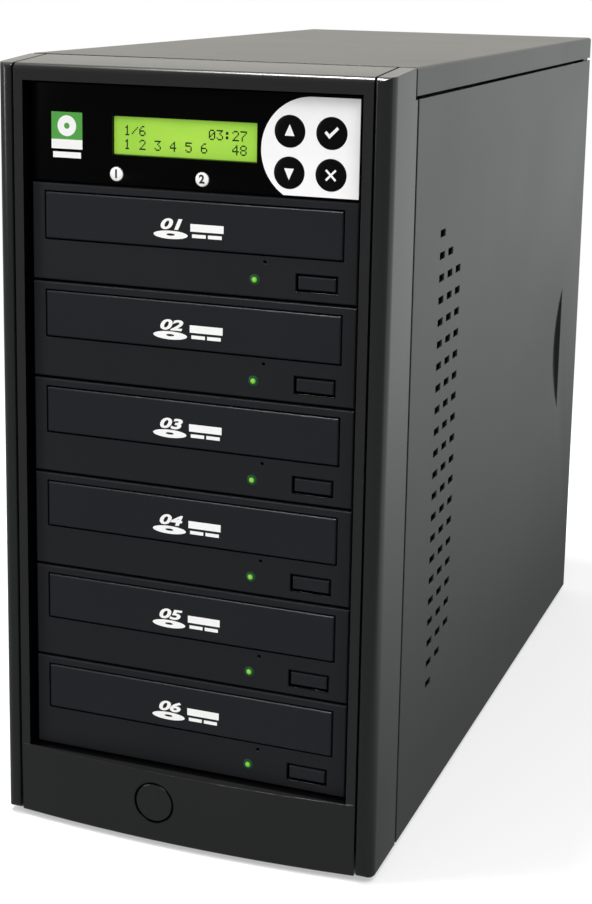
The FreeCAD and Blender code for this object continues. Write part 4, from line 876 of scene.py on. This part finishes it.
# Display: a character panel lit from behind in yellow-green, under a flat pane. Its digits are
# dark cells of five by seven square dots, sixteen to a row.
display_low, display_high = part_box("display_module")
display_middle = (display_low + display_high) / 2
glow_shrink = (1 / (38 * mm), 0, 1 / (13 * mm))
glow_bright = (0.285, 0.505, 0.050, 1)
glow_dim = (0.175, 0.39, 0.032, 1)
dot_rows = {"0": (14, 17, 19, 21, 25, 17, 14), "1": (4, 12, 4, 4, 4, 4, 14), "2": (14, 17, 1, 2, 4, 8, 31),
            "3": (31, 2, 4, 2, 1, 17, 14), "4": (2, 6, 10, 18, 31, 2, 2), "5": (31, 16, 30, 1, 1, 17, 14),
            "6": (6, 8, 16, 30, 17, 17, 14), "7": (31, 1, 2, 4, 8, 8, 8), "8": (14, 17, 17, 14, 17, 17, 14),
            ":": (0, 12, 12, 0, 12, 12, 0), "/": (0, 1, 2, 4, 8, 16, 0)}
shown_rows = ("1/6        03:27", "1 2 3 4 5 6   48")
columns = 5
cell_pitch = 3.5 * mm
row_pitch = 5.8 * mm
dot_pitch = 0.58 * mm
dot_gap = 0.01 * mm
dot_rise = 0.61 * mm
dot_thick = 0.06 * mm
dots_drop = 0.6 * mm


def make_dot_tree():
    """Geometry nodes that set a thin square dot on each point."""
    tree, given = start_tree("lit_dots", ("Dot Size", "Vector"), ("Finish", "Material"))
    dot = add_node(tree, "GeometryNodeMeshCube", {"Size": given["Dot Size"]})
    return end_point_tree(tree, given, dot.outputs[0])


display_lit, tree, shader = start_material("display_lit")
centred = vectors(tree, "SUBTRACT", object_place(tree), display_middle)
away = vectors(tree, "LENGTH", vectors(tree, "MULTIPLY", centred, glow_shrink))
cloud = noise(tree, 1 / (14 * mm), 1.0)
glow = colour_between(tree, maths(tree, "MULTIPLY", away, cloud), glow_bright, glow_dim)
feed(tree, shader, {"Base Color": glow, "Emission Color": glow, "Emission Strength": 0.45,
                    "Roughness": number_between(tree, cloud, 0.14, 0.2)})
dress("display_module", display_lit)
dot_places = []
for row, text in enumerate(shown_rows):
    for cell, sign in enumerate(text):
        for line, bits in enumerate(dot_rows.get(sign, ())):
            for column in range(columns):
                if bits >> (columns - 1 - column) & 1:
                    x = display_middle.x + (cell - 7.5) * cell_pitch + (column - 2) * dot_pitch
                    z = display_middle.z - dots_drop + (0.5 - row) * row_pitch + (3 - line) * dot_rise
                    dot_places.append((x, display_low.y, z))
dot_dark = printed("dot_dark", (0.006, 0.018, 0.004), 0.3)
on_points("display_dots", make_dot_tree(), dot_places,
          {"Dot Size": (dot_pitch - dot_gap, dot_thick, dot_rise - dot_gap), "Finish": dot_dark},
          "chassis", "display_glass")

# Control panel: a flat moulded plate under a printed film of gloss black, with a window for the
# display and a white field with an arched edge round the four large keys.
plate_low, plate_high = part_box("controller_faceplate")
film_thick = 0.12 * mm
film_edge = 0.35 * mm
film_low = Vector((plate_low.x + film_edge, 0, plate_low.z + film_edge))
film_high = Vector((plate_high.x - film_edge, 0, plate_high.z - film_edge))
window_half = Vector((32.7 * mm, 0, 8.15 * mm))
key_radius = 6.4 * mm
small_key_radius = 3.0 * mm
key_room = 0.25 * mm
keys = {"up_key": "key_up", "enter_key": "key_enter", "down_key": "key_down", "escape_key": "key_escape",
        "function_key_1": "key_1", "function_key_2": "key_2"}
field_thick = 0.05 * mm
field_x = 53.3 * mm
field_z = 312.7 * mm
field_radius = 21.85 * mm
arch_steps = 40
arch_start = math.pi / 2
arch_end = math.pi + math.asin((field_z - film_low.z) / field_radius)

panel_gloss = moulding("panel_gloss", (0.0012, 0.0012, 0.0014), (0.0016, 0.0016, 0.0018),
                       (0.01, 0.01, 0.01), 0.3, gloss=0.2)
film_gloss = moulding("film_gloss", (0.0005, 0.0005, 0.0006), (0.0007, 0.0007, 0.0008),
                      (0.004, 0.004, 0.004), 0.18, gloss=0.08, grain_size=0.5 * mm,
                      grain_depth=0.001 * mm)
field_white = printed("field_white", (0.93, 0.93, 0.93), 0.3)
mark_green = printed("mark_green", (0.075, 0.35, 0.055), 0.35)
dress("controller_faceplate", panel_gloss, fold_rounding)
key_holes = {}
for node in keys:
    low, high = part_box(node)
    middle = (low + high) / 2
    radius = small_key_radius if "function" in node else key_radius
    key_holes[node] = circle(middle.x, middle.z, radius + key_room)
window = square(display_middle.x - window_half.x, display_middle.x + window_half.x,
                display_middle.z - window_half.z, display_middle.z + window_half.z)
turns = [arch_start + (arch_end - arch_start) * step / arch_steps for step in range(arch_steps + 1)]
arch = [(field_x + field_radius * math.cos(turn), field_z + field_radius * math.sin(turn))
        for turn in turns]
film_outlines = [square(film_low.x, film_high.x, film_low.z, film_high.z), window, *key_holes.values()]
field_outlines = [arch + [(film_high.x, film_low.z), (film_high.x, arch[0][1])]]
field_outlines += [outline for node, outline in key_holes.items() if "function" not in node]
badge = square(-7.3 * mm, 7.3 * mm, -3.6 * mm, 8 * mm)
disc = [circle(0, 2.2 * mm, 4.4 * mm), circle(0, 2.2 * mm, 1.3 * mm)]
bands = [square(-7.3 * mm, 7.3 * mm, -7.6 * mm, -3.6 * mm),
         square(-6.6 * mm, 6.6 * mm, -11.4 * mm, -8.9 * mm)]
film_place = Matrix.Translation((0, plate_low.y - film_thick, 0))
field_place = Matrix.Translation((0, plate_low.y - film_thick - field_thick, 0))
mark_place = field_place @ Matrix.Translation((plate_low.x + 17 * mm, 0, plate_low.z + 21.5 * mm))
for piece in (flat_shape("panel_film", film_outlines, film_thick, film_place, film_gloss, 0.02 * mm),
              flat_shape("key_field", field_outlines, field_thick, field_place, field_white),
              flat_shape("green_square", [badge] + disc, field_thick, mark_place, mark_green),
              flat_shape("white_ring", disc, field_thick, mark_place, white_ink),
              flat_shape("white_bands", bands, field_thick, mark_place, white_ink)):
    fixed(piece, "chassis", "panel_gloss")

# Keys: domed caps that stand a little proud of the film. Up, down, enter and escape are black with
# white signs, and the two small ones are white with black numbers.
dome_height = 0.3 * mm
cap_skirt = 0.1 * mm
cap_depth = 0.6 * mm
cap_sides = 56
cap_skin = 0.02 * mm
sign_thick = 0.2 * mm
sign_proud = 0.02 * mm
small_number_height = 3.4 * mm
triangle = [(-2.1 * mm, -1.8 * mm), (2.1 * mm, -1.8 * mm), (0, 2.9 * mm)]
tick = [(-3.0 * mm, 0.1 * mm), (-2.2 * mm, 1.0 * mm), (-0.9 * mm, -0.4 * mm), (2.3 * mm, 2.7 * mm),
        (3.1 * mm, 1.8 * mm), (-0.9 * mm, -2.2 * mm)]
arm = 2.4 * mm
notch = 0.62 * mm
arm_end = [(notch, 0), (arm, arm - notch), (arm - notch, arm)]
cross = []
for turn in range(4):
    cross += arm_end
    arm_end = [(-z, x) for x, z in arm_end]
key_signs = {"up_key": triangle, "down_key": [(x, -z) for x, z in reversed(triangle)], "enter_key": tick,
             "escape_key": cross}

key_black = moulding("key_black", (0.0012, 0.0012, 0.0012), (0.0018, 0.0018, 0.0018),
                     (0.008, 0.008, 0.008), 0.3, gloss=0.15)
key_white = printed("key_white", (0.90, 0.90, 0.89), 0.35)
black_ink = printed("black_ink", (0.012, 0.012, 0.012), 0.4)
for node, body in keys.items():
    dress(node, key_black)
    low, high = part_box(node)
    middle = (low + high) / 2
    small = "function" in node
    radius = (small_key_radius if small else key_radius) + cap_skin
    profile = [(radius * share, dome_height * rise)
               for share, rise in ((0, 1), (0.4, 0.94), (0.75, 0.66), (0.92, 0.3))]
    profile += [(radius, -cap_skirt), (radius, -cap_depth), (0, -cap_depth)]
    cap = turned(f"{node}_cap", profile, Vector((middle.x, low.y, middle.z)), right_x, up_z, cap_sides,
                 key_white if small else key_black)
    face = Matrix.Translation((middle.x, low.y - dome_height - sign_proud, middle.z))
    if small:
        sign = numeral(f"{node}_number", node[-1], small_number_height, sign_thick, face, black_ink)
    else:
        sign = flat_shape(f"{node}_sign", [key_signs[node]], sign_thick, face, white_ink)
    fixed(cap, body, "key_black")
    fixed(sign, body, "key_black")

# Front frame: one hollow moulding round the bays, with a bowed sill, and the round power button
# that slides in a sleeve behind it. The opening and the button's rim are darker with painted shade.
opening_low = Vector((-76.4 * mm, -197.9 * mm, 33.0 * mm))
opening_high = Vector((76.4 * mm, -160 * mm, 336.9 * mm))
button_low, button_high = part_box("power_button")
# Middle radius and half width of the ring of painted shade round the power button's gap.
button_rim_middle = 9.15 * mm
button_rim_half = 0.7 * mm
frame_plastic = moulding("frame_plastic", (0.0090, 0.0096, 0.0092), (0.0115, 0.0122, 0.0117),
                         (0.045, 0.046, 0.042), 0.24)
tree = frame_plastic.node_tree
# Painted shade on the inner walls of the bays' opening, and in the ring round the power button.
opening = place_group(tree, room_mask, Low=opening_low, High=opening_high)[0]
from_button = vectors(tree, "SUBTRACT", object_place(tree), (button_low + button_high) / 2)
from_axis = vectors(tree, "LENGTH", vectors(tree, "MULTIPLY", from_button, (1, 0, 1)))
button_rim = maths(tree, "COMPARE", from_axis, button_rim_middle, button_rim_half)
change_where(tree, maths(tree, "MAXIMUM", opening, button_rim), painted_shade_colour, recess_gloss)
dress("front_bezel", frame_plastic, rounding=0.3 * mm)
dress("power_button", frame_plastic, rounding=0.5 * mm)

# Trim strips: two hollow channels with round noses, moulded in black plastic, and clipped to the
# frame's sides behind a groove.
trim_plastic = moulding("trim_plastic", (0.0080, 0.0084, 0.0088), (0.0105, 0.0110, 0.0114),
                        (0.045, 0.046, 0.044), 0.22)
dress("left_trim_strip", trim_plastic, rounding=0.3 * mm)
dress("right_trim_strip", trim_plastic, rounding=0.3 * mm)

# Black coated sheet of the rear panel, the cover and the two side panels: steel with a baked
# powder coat, a soft orange peel on it, and edges where the coat is thin and catches the light.
black_coat = coloured("black_powder_coat", (0.55 * mm, 90 * mm, 0.5 * mm, 8 * mm),
                      (0.012, 0.0125, 0.012), (0.020, 0.021, 0.020), (0.085, 0.088, 0.083),
                      depth=0.012 * mm, roughness=0.38, spread=0.04, rubbed_shine=0.30)
for node in ("rear_panel", "top_cover", "right_side_panel", "left_side_panel"):
    dress(node, black_coat, fold_rounding)
panel_rear_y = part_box("rear_panel")[1].y
fan_low, fan_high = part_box("fan_frame")
fan_head = screw_head(3.4 * mm, 1.7 * mm)
supply_head = screw_head(3 * mm, 1.5 * mm)
corner_signs = [(a, b) for a in (-1, 1) for b in (-1, 1)]
for name, low, high, half_x, half_z, head, seed in (
        ("case_fan_screws", fan_low, fan_high, screw_spread, screw_spread, fan_head, 5),
        ("supply_screws", supply_low, supply_high, 71 * mm, 39 * mm, supply_head, 8)):
    middle = (low + high) / 2
    places = [(middle.x + a * half_x, panel_rear_y, middle.z + b * half_z) for a, b in corner_signs]
    set_screws(name, head, places, seed)

# Thumbscrews that hold the side panels: turned nickel heads with a slot, and a knurl rolled round
# each as a ring of fine upright ridges.
knurl_length = 4.2 * mm
knurl_inset = 0.7 * mm
ridge_sink = 0.08 * mm
ridge_width = 0.34 * mm
ridge_count = 40


def make_knurl_tree():
    """Geometry nodes that roll a ring of ridges round each point, along Y."""
    tree, given = start_tree("rolled_knurl", ("Radius", "Float"), ("Length", "Float"), ("Ridges", "Int"),
                             ("Ridge Width", "Float"), ("Finish", "Material"))
    ring = add_node(tree, "GeometryNodeMeshCircle",
                    {"Vertices": given["Ridges"], "Radius": given["Radius"]})
    spot = add_node(tree, "GeometryNodeInputPosition")
    outward = add_node(tree, "FunctionNodeAlignRotationToVector", {"Vector": spot.outputs[0]},
                       axis="X", pivot_axis="Z")
    width = given["Ridge Width"]
    ridge = add_node(tree, "GeometryNodeMeshCone",
                     {"Vertices": 4, "Radius Top": width, "Radius Bottom": width, "Depth": given["Length"]})
    ridges = add_node(tree, "GeometryNodeInstanceOnPoints",
                      {"Points": ring.outputs[0], "Instance": ridge.outputs[0],
                       "Rotation": outward.outputs[0]})
    stood = add_node(tree, "GeometryNodeTransform",
                     {"Geometry": ridges.outputs[0], "Rotation": (-math.pi / 2, 0, 0)})
    return end_point_tree(tree, given, stood.outputs[0])


screw_nickel = zinc_steel("screw_nickel", (0.66, 0.65, 0.62, 1), (0.58, 0.57, 0.55, 1), 1 * mm)
knurl_tree = make_knurl_tree()
for side in ("left", "right"):
    dress(f"{side}_panel_screws", screw_nickel, fold_rounding)
    low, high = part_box(f"{side}_panel_screws")
    head_radius = (high.x - low.x) / 2
    places = [((low.x + high.x) / 2, high.y - knurl_inset - knurl_length, z)
              for z in (low.z + head_radius, high.z - head_radius)]
    on_points(f"{side}_knurl", knurl_tree, places,
              {"Radius": head_radius - ridge_sink, "Length": knurl_length, "Ridges": ridge_count,
               "Ridge Width": ridge_width, "Finish": screw_nickel}, f"{side}_panel", "screw_nickel")
